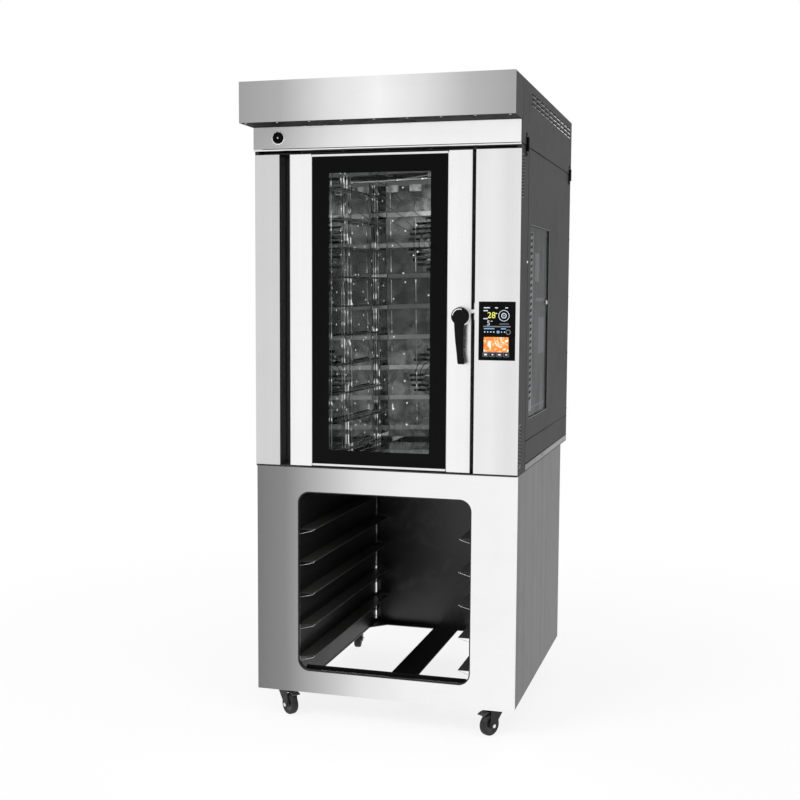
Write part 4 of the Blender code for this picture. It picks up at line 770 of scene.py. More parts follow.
def merged(shapes):
    """One mesh of several shapes."""
    whole = bmesh.new()
    for shape in shapes:
        part = bpy.data.meshes.new("part")
        shape.to_mesh(part)
        shape.free()
        whole.from_mesh(part)
        bpy.data.meshes.remove(part)
    return whole


def piece(name, shapes, finish_name, slot=None, body="carcass", stands_for=(), smooth=40):
    """A finished piece of one or more shapes that rides on a body; its slot argument is not used."""
    whole = merged(shapes)
    mesh = bpy.data.meshes.new(name)
    whole.to_mesh(mesh)
    whole.free()
    mesh.shade_smooth()
    mesh.set_sharp_from_angle(angle=math.radians(smooth))
    mesh.materials.append(FINISHES[finish_name])
    made = bpy.data.objects.new(name, mesh)
    bpy.context.scene.collection.objects.link(made)
    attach(made, body)
    if stands_for:
        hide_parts(*stands_for)
    return made


def numeral(text, height, thick):
    """Digits as a flat raised shape, centred over the origin."""
    curve = bpy.data.curves.new("numeral", "FONT")
    curve.body, curve.size, curve.extrude = text, height * 1.35, thick / 2
    curve.align_x, curve.align_y = "CENTER", "CENTER"
    holder = bpy.data.objects.new("numeral", curve)
    bpy.context.scene.collection.objects.link(holder)
    bpy.context.view_layer.update()
    mesh = bpy.data.meshes.new_from_object(holder)
    shape = bmesh.new()
    shape.from_mesh(mesh)
    bmesh.ops.remove_doubles(shape, verts=shape.verts, dist=1e-6)
    bmesh.ops.translate(shape, vec=(0, 0, thick / 2), verts=shape.verts)
    bpy.data.objects.remove(holder)
    bpy.data.curves.remove(curve)
    bpy.data.meshes.remove(mesh)
    return shape


# Door

VIEW_BORDER_SIDES = (0.0618, 0.0592)
VIEW_BORDER_ENDS = (0.0483, 0.0558)
WIPE_LINES = (
    ((-0.189, 1.865), (-0.155, 1.8385), (-0.1135, 1.8086), (-0.072, 1.782), (-0.0245, 1.743), (0.022, 1.7054),
     (0.0775, 1.665)),
    ((-0.141, 1.8867), (-0.093, 1.8633), (-0.059, 1.8497), (-0.011, 1.8265), (0.023, 1.8033), (0.063, 1.7775),
     (0.097, 1.7448), (0.144, 1.6965), (0.1875, 1.6644)),
    ((-0.0725, 1.911), (-0.025, 1.894), (0.016, 1.8774)),
    ((0.036, 1.8577), (0.063, 1.8254), (0.0965, 1.7993), (0.15, 1.7602)),
    ((-0.0246, 1.7816), (0.03, 1.7585), (0.104, 1.7191)))


def door_glass():
    """Outer pane, the black border printed round its view, the bright trims above and below it, and black
    outlines behind the trims painted as their shadow lines.
    """
    low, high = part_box("door_glass_outer")
    x, _, z = middle_of("door_glass_outer")
    width, height, print_depth = high.x - low.x, high.z - low.z, 0.0003
    front = low.y + print_depth
    glass = slab(width, height, high.y - front - SHEET_GAP, corner=0.002, ease=0.0004, steps=3)
    piece("door_pane", [placed(glass, "front", (x, high.y, z))], "door_glass", body="door",
          stands_for=["door_glass_outer"])
    outer = (-width / 2, -height / 2, width / 2, height / 2)
    opening = (-width / 2 + VIEW_BORDER_SIDES[0], -height / 2 + VIEW_BORDER_ENDS[0],
               width / 2 - VIEW_BORDER_SIDES[1], height / 2 - VIEW_BORDER_ENDS[1])
    border = surround(outer, opening, print_depth, 0.002, 0.003, steps=3)
    piece("door_pane_border", [placed(border, "front", (x, front, z))], "printed_black", "door_glass", "door")
    shadow_lines, trims = [], []
    for z, wide, shade in ((high.z + 0.0046, width + 0.002, 0.0012), (low.z - 0.0042, width, -0.0006)):
        shadow_lines.append(placed(slab(wide + 0.004, 0.0125, 0.0003, corner=0.005), "front",
                            (x, low.y - 0.0004, z + shade)))
        trims.append(placed(slab(wide, 0.0076, 0.0016, corner=0.0037, ease=0.0008), "front",
                            (x, low.y - 0.0009, z)))
    # Black slabs behind the trims, painted as the shadow lines round them.
    piece("door_trim_seats", shadow_lines, "seam_black", "front_steel", "door")
    piece("door_pane_trims", trims, "bright_chrome", body="door")


def glass_wipe_lines():
    """Thin dark lines that a cloth has left across the upper part of the outer pane."""
    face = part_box("door_glass_outer")[0].y - 0.0003
    shapes = [rod((start[0], face, start[1]), (end[0], face, end[1]), 0.0015, 6)
              for line in WIPE_LINES for start, end in zip(line, line[1:])]
    piece("glass_wipe_lines", shapes, "smear_film", "door_glass", "door")


def door_stile_beads():
    """Bright folded edges of the two stiles, beside the glass and at the door's outer edges."""
    low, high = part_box("door_frame")
    glass_low, glass_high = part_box("door_glass_outer")
    ends = (low.z + 0.004, high.z - 0.004)
    shapes = [lofted([((x, low.y - 0.0004, z), 0.0009, 0.0008) for z in ends], steps=3)
              for x in (low.x + 0.0016, glass_low.x - 0.0014, glass_high.x + 0.0014, high.x - 0.0016)]
    piece("door_stile_beads", shapes, "bright_chrome", "front_steel", "door")


def door_handle():
    """Chrome rose on the door, and the black lever with its domed boss and out-turned tip; a pale arc on the
    boss is a painted highlight.
    """
    low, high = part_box("handle_rose")
    x, _, z = middle_of("handle_rose")
    radius, depth = (high.x - low.x) / 2, high.y - low.y
    rose = turned([(0, 0), (radius, 0), (radius, depth * 0.45), (radius - 0.0015, depth * 0.8),
                   (radius - 0.004, depth), (0.008, depth), (0.008, depth * 0.5), (0, depth * 0.5)], 48)
    piece("handle_rose_dish", [placed(rose, "front", (x, high.y, z))], "bright_chrome", body="door",
          stands_for=["handle_rose"])
    root, boss = low.y - 0.0003, 0.0295
    low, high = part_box("handle_lever")
    face, tip = low.y, low.z - z
    proud = root - face
    dome = turned([
        (0, 0), (boss - 0.002, 0), (boss, 0.002), (boss, proud - 0.006), (boss - 0.002, proud - 0.003),
        (boss - 0.007, proud - 0.0006), (boss - 0.009, proud), (boss - 0.012, proud),
        (boss - 0.0135, proud - 0.0015), (boss - 0.017, proud - 0.0015), (0, proud - 0.001)], 48)
    # Each section of the arm: across, proud of the face, height, half width, half depth
    sections = ((0.0, 0.0085, 0.004, 0.0185, 0.008), (-0.001, 0.0078, -0.022, 0.018, 0.0074),
                (-0.0018, 0.0072, -0.042, 0.0158, 0.007), (-0.0005, 0.0068, -0.077, 0.0144, 0.0066),
                (0.0012, 0.0066, -0.112, 0.0118, 0.0062), (0.003, 0.0066, -0.132, 0.0112, 0.006),
                (0.0052, 0.0068, tip + 0.012, 0.0122, 0.0058), (0.0062, 0.0076, tip + 0.004, 0.0122, 0.005),
                (0.0062, 0.0086, tip + 0.0006, 0.0095, 0.0034))
    arm = lofted([((across, face + out, up), wide, deep) for across, out, up, wide, deep in sections],
                 corner=0.7)
    bmesh.ops.translate(arm, vec=(x, 0, z), verts=arm.verts)
    piece("handle_lever_grip", [placed(dome, "front", (x, root, z)), arm,
                                rod((x, root - 0.004, z), (x, high.y, z), 0.005, 16)],
          "lever_black", "black_plastic", "handle", ["handle_lever"], smooth=50)
    # Pale arc on the boss, painted as its highlight.
    painted_gleam = arc_rod(0.0238, 0.0014, 72, 172)
    piece("handle_boss_arc", [placed(painted_gleam, "front", (x, face + 0.0008, z))], "pale_mark", "bright_chrome",
          "handle")
    badge = turned([(0, 0), (0.0112, 0), (0.0112, 0.0008), (0.01, 0.0016), (0, 0.002)], 32)
    piece("handle_boss_cap", [placed(badge, "front", (x, face + 0.0014, z))], "lever_black", "gloss_black",
          "handle")


def hinge_details():
    """Pin heads and screws of the two door hinges."""
    for node, facing, height in (("hinge_top", "top", 1), ("hinge_bottom", "under", -1)):
        low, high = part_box(node)
        end = (high.z if height > 0 else low.z) - height * 0.0004
        pin = turned([(0, 0), (0.0065, 0), (0.0065, 0.001), (0.005, 0.0024), (0, 0.0028)], 24)
        shapes = [placed(pin, facing, (high.x - 0.016, low.y + 0.016, end))]
        for step in range(3):
            shapes.append(screw(facing, (low.x + 0.014 + 0.022 * step, low.y + 0.014, end), 0.0036))
        piece(node + "_pin", shapes, "bright_chrome", "zinc")


# Front of the casing

def light_push_button():
    """Domed black button with a recessed face and a pale dot painted as its highlight, in a black collar and
    a thin ring painted pale as the chrome's reflection.
    """
    low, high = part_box("light_button")
    x, _, z = middle_of("light_button")
    radius, depth = (high.x - low.x) / 2, high.y - low.y
    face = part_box("fascia_strip")[0].y + 0.0016 - 0.0001
    inner, outer = radius + 0.0008, radius + 0.0036

    def disc(name, points, sides, closed, y, finish_name, slot, **more):
        piece(name, [placed(turned(points, sides, closed), "front", (x, y, z))], finish_name, slot, **more)

    disc("light_button_cap", [
        (0, 0), (radius, 0), (radius, depth - 0.003), (radius - 0.001, depth - 0.0008),
        (radius - 0.003, depth), (radius - 0.005, depth - 0.0006), (radius - 0.0065, depth - 0.002),
        (radius - 0.009, depth - 0.0026), (0, depth - 0.0022)], 40, False, high.y, "gloss_black",
        "gloss_black", body="button", stands_for=["light_button"])
    # Pale dot painted as the button's highlight.
    disc("light_button_dot", [(0, 0), (0.0026, 0), (0.0022, 0.0006), (0, 0.0008)], 20, False,
         high.y - depth + 0.0023, "pale_mark", "bright_chrome", body="button")
    disc("light_button_collar", [(inner, 0), (outer, 0), (outer, 0.0012), (inner + 0.001, 0.002),
                                 (inner, 0.0014)], 40, True, face, "gloss_black", "gloss_black")
    # The chrome ring, painted pale as its reflection.
    disc("light_button_ring", [(outer, 0), (outer + 0.0032, 0), (outer + 0.0028, 0.0012), (outer, 0.0018)],
         40, True, face, "pale_mark", "bright_chrome")


def canopy_trims():
    """Spacers under the canopy's lip painted pale as highlights, a black sheet painted as the shade under the
    canopy, and the bright bead along the fascia's foot.
    """
    low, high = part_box("hood_front")
    # Spacers of black steel, painted pale as highlights.
    shapes = [placed(slab(0.007, 0.003, 0.0012, corner=0.001, ease=0.0004, steps=2), "under",
                     (x, high.y + 0.01, low.z - 0.0006)) for x in spread(low.x + 0.02, high.x - 0.02, 9)]
    piece("canopy_spacers", shapes, "pale_mark", "black_steel")
    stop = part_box("fascia_strip")[0].y
    # Black sheet, darker than the canopy's paint, painted as the shade under it.
    liner = slab(high.x - low.x - 0.002, stop - low.y - 0.002, 0.0006, corner=0.001)
    piece("canopy_liner", [placed(liner, "under", (0.0, (low.y + stop) / 2, low.z))], "seam_black",
          "dark_paint")
    low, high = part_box("fascia_strip")
    y, z = low.y + 0.0036, low.z + 0.0034
    piece("fascia_bead", [rod((low.x + 0.001, y, z), (high.x - 0.001, y, z), 0.0041, 16)], "bright_chrome",
          "hood_steel")


def display():
    """Black glass touch screen with its lit dashes, numerals, dial, tile and keys."""
    low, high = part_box("touch_screen")
    x, _, z = middle_of("touch_screen")
    width, height, face, thick = high.x - low.x, high.z - low.z, low.y, 0.00035
    bezel = slab(width, height, high.y - low.y, corner=0.002, ease=0.0008)
    piece("screen_glass", [placed(bezel, "front", (x, high.y, z))], "gloss_black",
          stands_for=["touch_screen"])

    def on_screen(shape, across, up):
        """Places a shape; across and up run from -1 to 1 over the screen."""
        return placed(shape, "front", (x + across * width / 2, face, z + up * height / 2))

    def tab(across, up, wide, tall, corner=0.0005):
        return on_screen(slab(wide, tall, thick, corner=corner, steps=2), across, up)

    def digits(text, across, up, tall):
        return on_screen(numeral(text, tall, thick), across, up)

    def hoop(across, up, radius, inner):
        points = [(inner, 0), (radius, 0), (radius, thick), (inner, thick)]
        return on_screen(turned(points, 40, closed=True), across, up)

    def key_frame(across):
        frame_shape = surround((-0.0095, -0.0075, 0.0095, 0.0075), (-0.0082, -0.0062, 0.0082, 0.0062),
                               thick, 0.002, 0.0015, steps=3)
        return on_screen(frame_shape, across, -0.8)

    marks = {
        "marks": ("lit_white", [
            tab(-0.56, 0.79, 0.021, 0.0035), tab(-0.03, 0.79, 0.01, 0.0035),
            tab(0.52, 0.79, 0.009, 0.0035), tab(-0.62, 0.69, 0.015, 0.0035),
            tab(-0.62, 0.42, 0.015, 0.0035), digits("5", -0.46, 0.265, 0.017),
            tab(-0.29, 0.335, 0.006, 0.002), hoop(0.38, 0.525, 0.0185, 0.0166),
            hoop(0.38, 0.525, 0.009, 0.0062), tab(0.38, 0.525, 0.0045, 0.0045, 0.002),
            *(tab(-0.66 + 0.165 * step, -0.03, 0.0042, 0.0042, 0.0015) for step in range(4)),
            tab(0.26, -0.03, 0.0035, 0.0035, 0.0012), tab(0.42, -0.03, 0.0035, 0.0035, 0.0012)]),
        "numerals": ("lit_yellow", [digits("28", -0.3, 0.53, 0.021), tab(-0.03, 0.6, 0.006, 0.0025)]),
        "rules": ("lit_grey", [
            tab(0.0, 0.155, 0.092, 0.0042), tab(0.4, 0.245, 0.031, 0.0025),
            hoop(0.62, -0.03, 0.0085, 0.0062), *(key_frame(-0.6 + 0.375 * step) for step in range(4))]),
        "bars": ("lit_blue", [tab(-0.42, 0.082, 0.036, 0.0038), tab(0.36, 0.082, 0.017, 0.0038),
                              tab(0.07, -0.03, 0.009, 0.008)]),
        "tile": ("lit_tile", [tab(-0.03, -0.46, 0.084, 0.05, 0.003)]),
        "keys": ("lit_white", [tab(-0.6, -0.8, 0.01, 0.006), tab(-0.22, -0.8, 0.006, 0.005),
                               tab(0.15, -0.8, 0.01, 0.005), tab(0.53, -0.8, 0.007, 0.004)])}
    for name, (finish_name, shapes) in marks.items():
        piece("display_" + name, shapes, finish_name, "gloss_black")


# Sides, rear and top

def screw(facing, place, radius=0.0042):
    """A pan-head screw with a round socket, standing on a side of the oven."""
    head = turned([(0, 0), (radius, 0), (radius, radius * 0.25), (radius * 0.85, radius * 0.5),
                   (radius * 0.45, radius * 0.6), (radius * 0.4, radius * 0.3), (0, radius * 0.3)], 16)
    return placed(head, facing, place)


def seam_clip():
    """A spring clip over a seam: ribbed barrel between two caps on a thin plate."""
    plate = slab(0.02, 0.078, 0.0012, corner=0.003, ease=0.0003)
    ribs, pitch = 9, 0.0052
    profile = [(0, 0)]
    for step in range(ribs):
        foot = step * pitch
        profile += [(0.004, foot), (0.0058, foot + pitch * 0.3), (0.0058, foot + pitch * 0.7),
                    (0.004, foot + pitch)]
    profile.append((0, ribs * pitch))
    barrel = placed(turned(profile, 20), "rear", (0, 0, 0))
    bmesh.ops.translate(barrel, vec=(0, -ribs * pitch / 2, 0.0036), verts=barrel.verts)
    return merged([plate, barrel, *(screw("top", (0, y, 0.0012), 0.0034) for y in (0.033, -0.033))])


def seam_clips():
    """Clips that hold the hood to the casing, two on each side."""
    seam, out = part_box("hood_shell")[0].z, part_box("side_panel_right")[1].x + 0.0021
    for side, sign in SIDES.items():
        shapes = [placed(seam_clip(), side, (sign * out, y, seam + rise))
                  for y, rise in ((-0.43, 0.002), (0.562, -0.006))]
        piece("seam_clips_" + side, shapes, "seam_black", "black_plastic")


def screw_rows():
    """Screws of the side panels, painted over but for one, and of the rear cover and the hood."""
    low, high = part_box("side_panel_right")
    post_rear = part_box("front_post_right")[1].y
    for side, sign in SIDES.items():
        shapes = [screw(side, (sign * high.x, high.y - 0.012, z))
                  for z in spread(low.z + 0.03, high.z - 0.03, 5)]
        piece("side_screws_" + side, shapes, "dark_paint")
        piece("post_screw_" + side, [screw(side, (sign * high.x, post_rear - 0.0115, 1.6275), 0.0046)],
              "bright_chrome", "zinc")
    low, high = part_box("back_panel")
    shapes = [screw("rear", (x, high.y, z)) for z in spread(low.z + 0.03, high.z - 0.03, 6)
              for x in (low.x + 0.015, high.x - 0.015)]
    shapes += [screw("rear", (x, high.y, z)) for x in spread(low.x, high.x, 5)[1:4]
               for z in (low.z + 0.018, high.z - 0.018)]
    piece("rear_cover_screws", shapes, "zinc")
    low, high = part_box("hood_shell")
    shapes = [screw("top", (x, y, high.z)) for y in spread(low.y + 0.05, high.y - 0.05, 5)
              for x in (low.x + 0.02, high.x - 0.02)]
    piece("hood_top_screws", shapes, "zinc")


def hood_seams():
    """Two upright folds near the front of each hood side."""
    low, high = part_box("hood_shell")
    middle, tall = (low.z + high.z) / 2 + 0.035, (high.z - low.z) - 0.075
    for side, sign in SIDES.items():
        shapes = [placed(slab(0.0016, tall, 0.0005, ease=0.0002), side, (sign * high.x, y, middle))
                  for y in (-0.5, -0.386)]
        piece("hood_folds_" + side, shapes, "black_steel", "dark_paint")


def casing_seams():
    """Black sealing strips in the casing's long seams, and the pale ledge above the rack."""
    low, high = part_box("side_panel_right")
    post_low, post_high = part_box("front_post_right")
    rows = ((low.z - 0.001, low.y, 0.0042), (high.z + 0.0015, post_low.y, 0.0044),
            (post_low.z + 0.0225, low.y, 0.0042))
    for side, sign in SIDES.items():
        face = sign * high.x
        shapes = [placed(slab(high.y - near, tall, 0.0005, ease=0.0001), side, (face, (near + high.y) / 2, z))
                  for z, near, tall in rows]
        shapes.append(placed(slab(0.003, post_high.z - post_low.z - 0.006, 0.0004), side,
                             (face, post_high.y + 0.0015, (post_low.z + post_high.z) / 2)))
        piece("casing_seams_" + side, shapes, "seam_black", "dark_paint")
        ledge = slab(high.y - low.y - 0.004, 0.0195, 0.001, ease=0.0004)
        clip = slab(0.012, 0.01, 0.003, corner=0.002, ease=0.0005)
        z = post_low.z + 0.0105
        piece("casing_ledge_" + side, [placed(ledge, side, (face, (low.y + high.y) / 2, z)),
                                       placed(clip, side, (face, -0.013, z + 0.002))], "ledge_zinc", "zinc")


def post_vents():
    """Black marks over the right post's slots, painted as the shade in them, a leaning row above and two
    staggered rows below, on grey plates.
    """
    low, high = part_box("front_post_right")
    plates = [placed(slab(wide, tall, 0.0002, corner=0.001), "right", (high.x, low.y + deep, z))
              for deep, wide, z, tall in ((0.0265, 0.044, high.z - 0.1665 + 0.0636, 0.142),
                                          (0.0277, 0.052, low.z + 0.0325 + 0.064, 0.148))]
    piece("post_vent_plates", plates, "vent_paint", "dark_paint")
    y, z = low.y + 0.0265, high.z - 0.1665
    shapes = [placed(slab(0.043, 0.0074, 0.0004, corner=0.0015, steps=2), "right",
                     (high.x, y, z + 0.0106 * step), turn=0.1) for step in range(13)]
    y, z = low.y + 0.0145, low.z + 0.0325
    shapes += [placed(slab(0.024, 0.0074, 0.0004, corner=0.0034, steps=3), "right",
                      (high.x, y + 0.0265 * column, z + 0.0122 * (step + column / 2)))
               for step in range(11) for column in range(2)]
    # Black marks painted as the shade inside the post's slots.
    piece("post_vent_gauze", shapes, "seam_black", "dark_paint")


def louvre_lips():
    """Turned-out lips under the hood's louvres, painted pale as their highlights, brighter towards the rear.
    """
    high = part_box("hood_shell")[1]
    for side, sign in SIDES.items():
        shapes = []
        for row in range(3):
            for column in range(10):
                near = -0.34 + column * (high.y + 0.34 - 0.052 - 0.07) / 9
                z = high.z - 0.0657 + 0.016 * row
                shapes.append(placed(slab(0.06, 0.003, 0.0016, ease=0.0004), side,
                                     (sign * high.x, near + 0.035, z - 0.0016)))
        piece("louvre_lips_" + side, shapes, "lip_paint", "dark_paint")


def side_window():
    """Thin outline round the side pane, the slotted duct sheet with its plates behind it, black marks painted
    as the shade in its slots, and a knob painted pale as a highlight.
    """
    low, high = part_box("side_window_glass")
    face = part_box("side_panel_right")[1].x
    _, y, z = middle_of("side_window_glass")
    long, tall, past = high.y - low.y, high.z - low.z, 0.055
    half_y, half_z, rim = long / 2 - 0.01, tall / 2 - 0.01, 0.0016
    outline = (-half_y - rim, -half_z - rim, half_y + rim, half_z + rim)
    trim = surround(outline, (-half_y, -half_z, half_y, half_z), 0.0006, 0.002, 0.001, ease=0.0002)
    piece("side_window_trim", [placed(trim, "right", (face, y, z))], "dim_zinc", "zinc")
    inner = low.x - 0.0026
    sheet = slab(long - 0.004 + past, tall - 0.004, 0.0012, corner=0.002)
    stop = placed(slab(high.x - inner, tall, 0.001), "front", ((inner + high.x) / 2, high.y + 0.0016, z))
    piece("side_window_sheet", [placed(sheet, "right", (inner, y + past / 2, z)), stop], "window_sheet",
          "rack_side_steel")
    rail = slab(0.08, tall - 0.06, 0.0008, corner=0.002)
    piece("side_window_rail", [placed(rail, "right", (inner + 0.001, low.y + 0.06, z))], "window_rail",
          "rack_side_steel")
    # Each plate: distance behind the pane's front edge, height of its middle, length and height
    plates = ((0.185, 1.615, 0.085, 0.1), (0.255, 1.5, 0.19, 0.012), (0.29, 1.37, 0.13, 0.13),
              (0.33, 1.58, 0.006, 0.24), (0.3, 1.18, 0.004, 0.17), (0.24, 1.12, 0.28, 0.006))
    shapes = [placed(slab(wide, upright, 0.0005, corner=0.002), "right", (inner + 0.001, low.y + deep, rise))
              for deep, rise, wide, upright in plates]
    piece("side_window_ribs", shapes, "ledge_zinc", "rack_side_steel")
    # Black marks painted as the shade in the duct sheet's slots.
    slots = [placed(slab(0.056, 0.0105, 0.0003, corner=0.005, steps=4), "right",
                    (inner + 0.0019, low.y + 0.056, height), turn=0.12)
             for height in spread(low.z + 0.075, high.z - 0.04, 27)]
    piece("side_window_slots", slots, "seam_black", "black_steel")
    # Pale knob, painted as a highlight.
    knob = turned([(0, 0), (0.008, 0), (0.008, 0.002), (0.006, 0.0036), (0, 0.004)], 24)
    piece("side_window_knob", [placed(knob, "right", (face - 0.0018, high.y - 0.045, 1.49))], "pale_mark",
          "bright_chrome")


def cable_entry():
    """Dome nut of the gland at the rear."""
    x, _, z = middle_of("cable_gland")
    bore, reach = 0.0068, 0.0045
    dome = turned([(bore, 0), (0.0128, 0), (0.0128, reach * 0.5), (0.0105, reach),
                   (bore + 0.001, reach + 0.0012), (bore, reach + 0.0006)], 32, closed=True)
    piece("gland_dome", [placed(dome, "rear", (x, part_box("cable_gland")[1].y, z))], "black_plastic")


# Chamber

STRIP_FIRST, STRIP_PITCH, STRIP_COUNT = 0.987, 0.1195, 9


def chamber_wires():
    """Guard wires in front of the fans, and the bright rails beside them."""
    front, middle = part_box("fan_baffle")[0].y, middle_of("fan_upper")[0]
    shapes = []
    for x in (middle - 0.172, middle - 0.075, middle + 0.02, middle + 0.075, middle + 0.15):
        for step in range(STRIP_COUNT - 1):
            foot = STRIP_FIRST + STRIP_PITCH * step + 0.016
            shapes.append(rod((x, front + 0.0022, foot), (x, front + 0.0022, foot + 0.088), 0.0014, 8))
    piece("chamber_wires", shapes, "ladder_wire", "chamber_steel")
    for label in ("upper", "lower"):
        centre = (middle, front - 0.0014, middle_of("fan_" + label)[2])
        rings = [placed(ring(radius, 0.0012), "front", centre) for radius in (0.02, 0.04, 0.06, 0.08)]
        piece("fan_guard_" + label, rings, "ladder_sheet", "chamber_steel")


def tray_ladders():
    """Tray runners of the chamber as folded shelves on polished wire uprights with end beads."""
    for side, sign in SIDES.items():
        low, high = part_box("tray_ladder_" + side)
        middle, width = (low.y + high.y) / 2, high.x - low.x - 0.006
        wall = high.x if sign > 0 else low.x
        x = wall - sign * 0.0042
        wires = [rod((x, y, low.z), (x, y, high.z), 0.0018 if y > -0.2 else 0.0015, 12)
                 for y in (-0.375, -0.228, -0.188, -0.147, 0.163, 0.1945)]
        sheets = []
        for step in range(10):
            z = low.z + 0.0157 + 0.1031 * step
            sheets.append(placed(slab(width, high.y - low.y, 0.0014, ease=0.0004), "top",
                                 (wall - sign * (0.006 + width / 2), middle, z)))
            sheets.append(placed(slab(high.y - low.y, 0.006, 0.0012, ease=0.0004), side,
                                 (wall - sign * (high.x - low.x - 0.0014), middle, z + 0.003)))
            for y in (-0.147, 0.163):
                bead = turned([(0, 0), (0.0042, 0), (0.0042, 0.001), (0.003, 0.003), (0, 0.0036)], 12)
                wires.append(placed(bead, FACING_IN[side], (x - sign * 0.002, y, z + 0.01)))
        for z in (1.338, 1.673):
            hook = slab(0.03, 0.03, 0.002, corner=0.006, ease=0.0008)
            wires.append(placed(hook, FACING_IN[side], (x - sign * 0.0024, -0.168, z)))
        piece("tray_ladder_wires_" + side, wires, "ladder_wire", "chamber_steel",
              stands_for=["tray_ladder_" + side])
        piece("tray_ladder_shelves_" + side, sheets, "ladder_sheet", "chamber_steel")


def baffle_fittings():
    """Two dim lamp windows high on the fan baffle, and the brackets that end its level strips."""
    low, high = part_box("fan_baffle")
    windows = [placed(slab(0.046, 0.026, 0.0016, corner=0.005, ease=0.0004), "front",
                      (x, low.y - 0.0002, 1.9225)) for x in (-0.178, -0.088)]
    piece("baffle_lamps", windows, "soft_lamp", "lamp_glass")
    wall_low, wall_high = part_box("chamber_liner")
    gaps = ((wall_low.x + 0.0024, low.x), (high.x, wall_high.x - 0.0024))
    shapes = [placed(slab(far - near, 0.017, 0.002, ease=0.0004), "front",
                     ((near + far) / 2, low.y + 0.002, STRIP_FIRST + step * STRIP_PITCH))
              for step in range(STRIP_COUNT) for near, far in gaps]
    piece("baffle_strip_ends", shapes, "baffle_strip", "chamber_steel")


def lamp_bezel():
    """Thin frame round the chamber lamp."""
    low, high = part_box("chamber_lamp")
    wide, deep = (high.x - low.x) / 2, (high.y - low.y) / 2
    outer = (-wide - 0.006, -deep - 0.006, wide + 0.006, deep + 0.006)
    opening = (-wide + 0.004, -deep + 0.004, wide - 0.004, deep - 0.004)
    bezel = surround(outer, opening, 0.002, 0.006, 0.004, ease=0.0006)
    piece("chamber_lamp_bezel", [placed(bezel, "under", (low.x + wide, low.y + deep, low.z))], "ladder_sheet",
          "chamber_steel")


# Rack and casters

def rack_window_edging():
    """Black rim round the rack's window opening, painted as the shade on its inner return."""
    half_width, foot, top, corner, reach = 0.3125, 0.183, 0.826, 0.043, 0.004
    half = (top - foot) / 2
    outline = (-half_width - 0.0006, -half - 0.0006, half_width + 0.0006, half + 0.0006)
    opening = (-half_width + reach, -half + reach, half_width - reach, half - reach)
    # Black rim painted as the shade on the window's inner return.
    shade_rim = surround(outline, opening, 0.01, corner, corner - reach, ease=0.001, steps=10)
    place = (0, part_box("rack_front_frame")[0].y + 0.0098, (foot + top) / 2)
    piece("rack_window_edging", [placed(shade_rim, "front", place)], "black_steel")


def rack_sill_rail():
    """Black angle along the inside of the window's foot, and the beads in the rack's rear corners."""
    y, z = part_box("rack_front_frame")[1].y + 0.013, 0.1815
    ledge = placed(slab(0.6, 0.024, 0.002, corner=0.006, ease=0.0005), "top", (0.0, y, z))
    lip = placed(slab(0.585, 0.012, 0.002, corner=0.002, ease=0.0005), "front", (0.0, y - 0.002, z + 0.0075))
    piece("rack_sill_rail", [ledge, lip], "seam_black", "black_steel")
    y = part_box("rack_back_panel")[0].y - 0.004
    beads = [rod((x, y, 0.125), (x, y, 0.895), 0.0028, 12) for x in (-0.316, 0.316)]
    piece("rack_corner_beads", beads, "ladder_wire", "zinc")


def runner_caps():
    """Front ends of the rack's tray runners and rods along their inner edges, painted bright at the front and
    grey behind as highlights.
    """
    for side, sign in SIDES.items():
        low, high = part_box("rack_runners_" + side)
        inner, outer = (low.x, high.x) if sign > 0 else (high.x, low.x)
        front, shapes = low.y - 0.0006, []
        for step in range(5):
            z = 0.226 + 0.1145 * step
            edge = z + 0.0005
            shapes.append(lofted([((inner, front, z - 0.0012), 0.0014, 0.0014),
                                  (((inner * 3 + outer) / 4, front, z - 0.0055), 0.002, 0.0014),
                                  ((outer, front, z - 0.0165), 0.0024, 0.0014)], steps=2))
            shapes.append(rod((inner, low.y + 0.002, edge), (inner, high.y - 0.004, edge), 0.0012, 8))
        piece("rack_runner_ends_" + side, shapes, "runner_edge", "black_steel")


def mirrored_half(points):
    """Closes a half profile with its mirror image below the middle plane."""
    return points + [(radius, -height) for radius, height in reversed(points)]


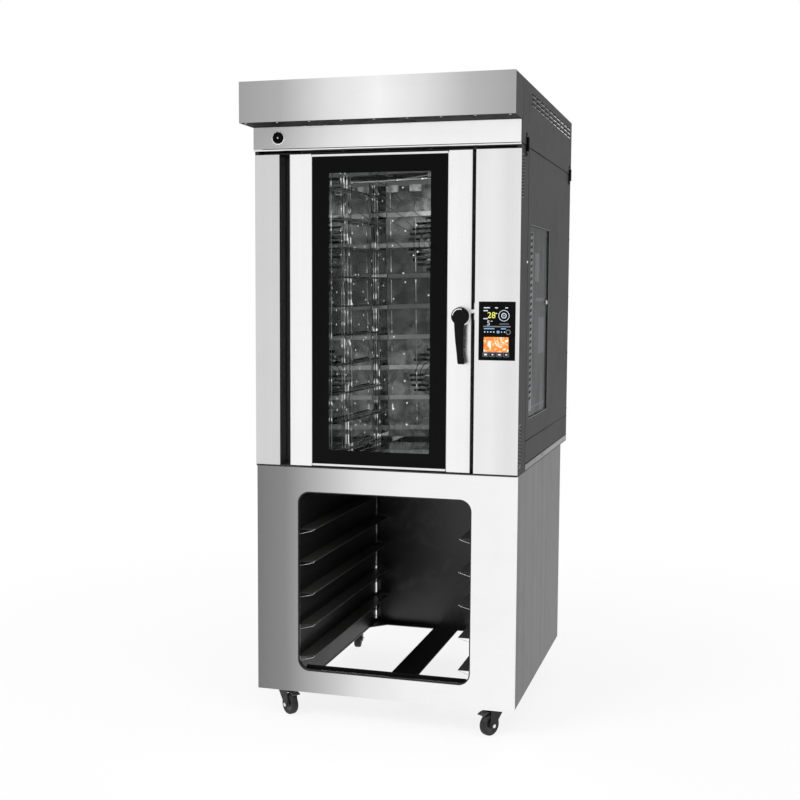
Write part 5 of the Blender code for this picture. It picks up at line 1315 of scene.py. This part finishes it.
def casters():
    """Rubber tyre, black hub, axle nuts, ball race and mounting bolts of each caster."""
    for label in CASTERS:
        low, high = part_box("caster_wheel_" + label)
        centre = Vector(middle_of("caster_wheel_" + label))
        rim, half = (high.z - low.z) / 2, 0.0135
        axle = axle_direction(NODES["caster_wheel_" + label], centre)
        tyre = turned(mirrored_half([(rim - 0.01, half - 0.002), (rim - 0.007, half),
                                     (rim - 0.003, half - 0.0006), (rim - 0.0008, half - 0.0035),
                                     (rim, half - 0.007)]), 56, closed=True)
        hub = turned(mirrored_half([(0.0046, 0.0172), (0.0095, 0.0172), (0.0105, 0.016),
                                    (0.011, half - 0.004), (rim - 0.014, half - 0.0045),
                                    (rim - 0.0125, half - 0.002), (rim - 0.0104, half - 0.0022)]),
                     48, closed=True)
        piece("caster_tyre_" + label, [pointed(tyre, centre, axle)], "wheel_rubber", body="wheel_" + label,
              stands_for=["caster_wheel_" + label])
        piece("caster_hub_" + label, [pointed(hub, centre, axle)], "black_plastic", body="wheel_" + label)
        nuts = [pointed(hex_nut(0.0125, 0.0045, bolt=0.0035), centre + way * 0.0212, way)
                for way in (axle, -axle)]
        piece("caster_nuts_" + label, nuts, "bright_chrome", "zinc", "caster_" + label)
        low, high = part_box("caster_plate_" + label)
        x, y, _ = middle_of("caster_plate_" + label)
        race = turned([(0.0225, 0), (0.0238, 0.0008), (0.0243, 0.003), (0.0238, 0.0052), (0.0225, 0.006)], 40,
                      closed=True)
        shapes = [placed(race, "top", (x, y, low.z + 0.0015))]
        shapes += [placed(hex_nut(0.011, 0.004, bolt=0.003), "under", (x + across, y + deep, high.z - 0.003))
                   for across in (-0.037, 0.037) for deep in (-0.0255, 0.0255)]
        piece("caster_bolts_" + label, shapes, "zinc")


def axle_direction(node, centre):
    """Level direction in which a wheel is thinnest, found from its own points."""
    turns = [math.pi * step / 180 for step in range(180)]
    ways = [Vector((math.cos(turn), math.sin(turn), 0)) for turn in turns]
    return min(ways, key=lambda way: max(abs((vert.co - centre).dot(way)) for vert in node.data.vertices))


bpy.context.scene.view_settings.view_transform = "Standard"
for build in (
        camera, lamps, surroundings, floor, dress_nodes, door_glass, glass_wipe_lines, door_stile_beads,
        door_handle, hinge_details, light_push_button, canopy_trims, display, seam_clips, hood_seams,
        casing_seams, post_vents, louvre_lips, screw_rows, side_window, cable_entry, chamber_wires,
        tray_ladders, baffle_fittings, lamp_bezel, rack_window_edging, rack_sill_rail, runner_caps, casters):
    build()
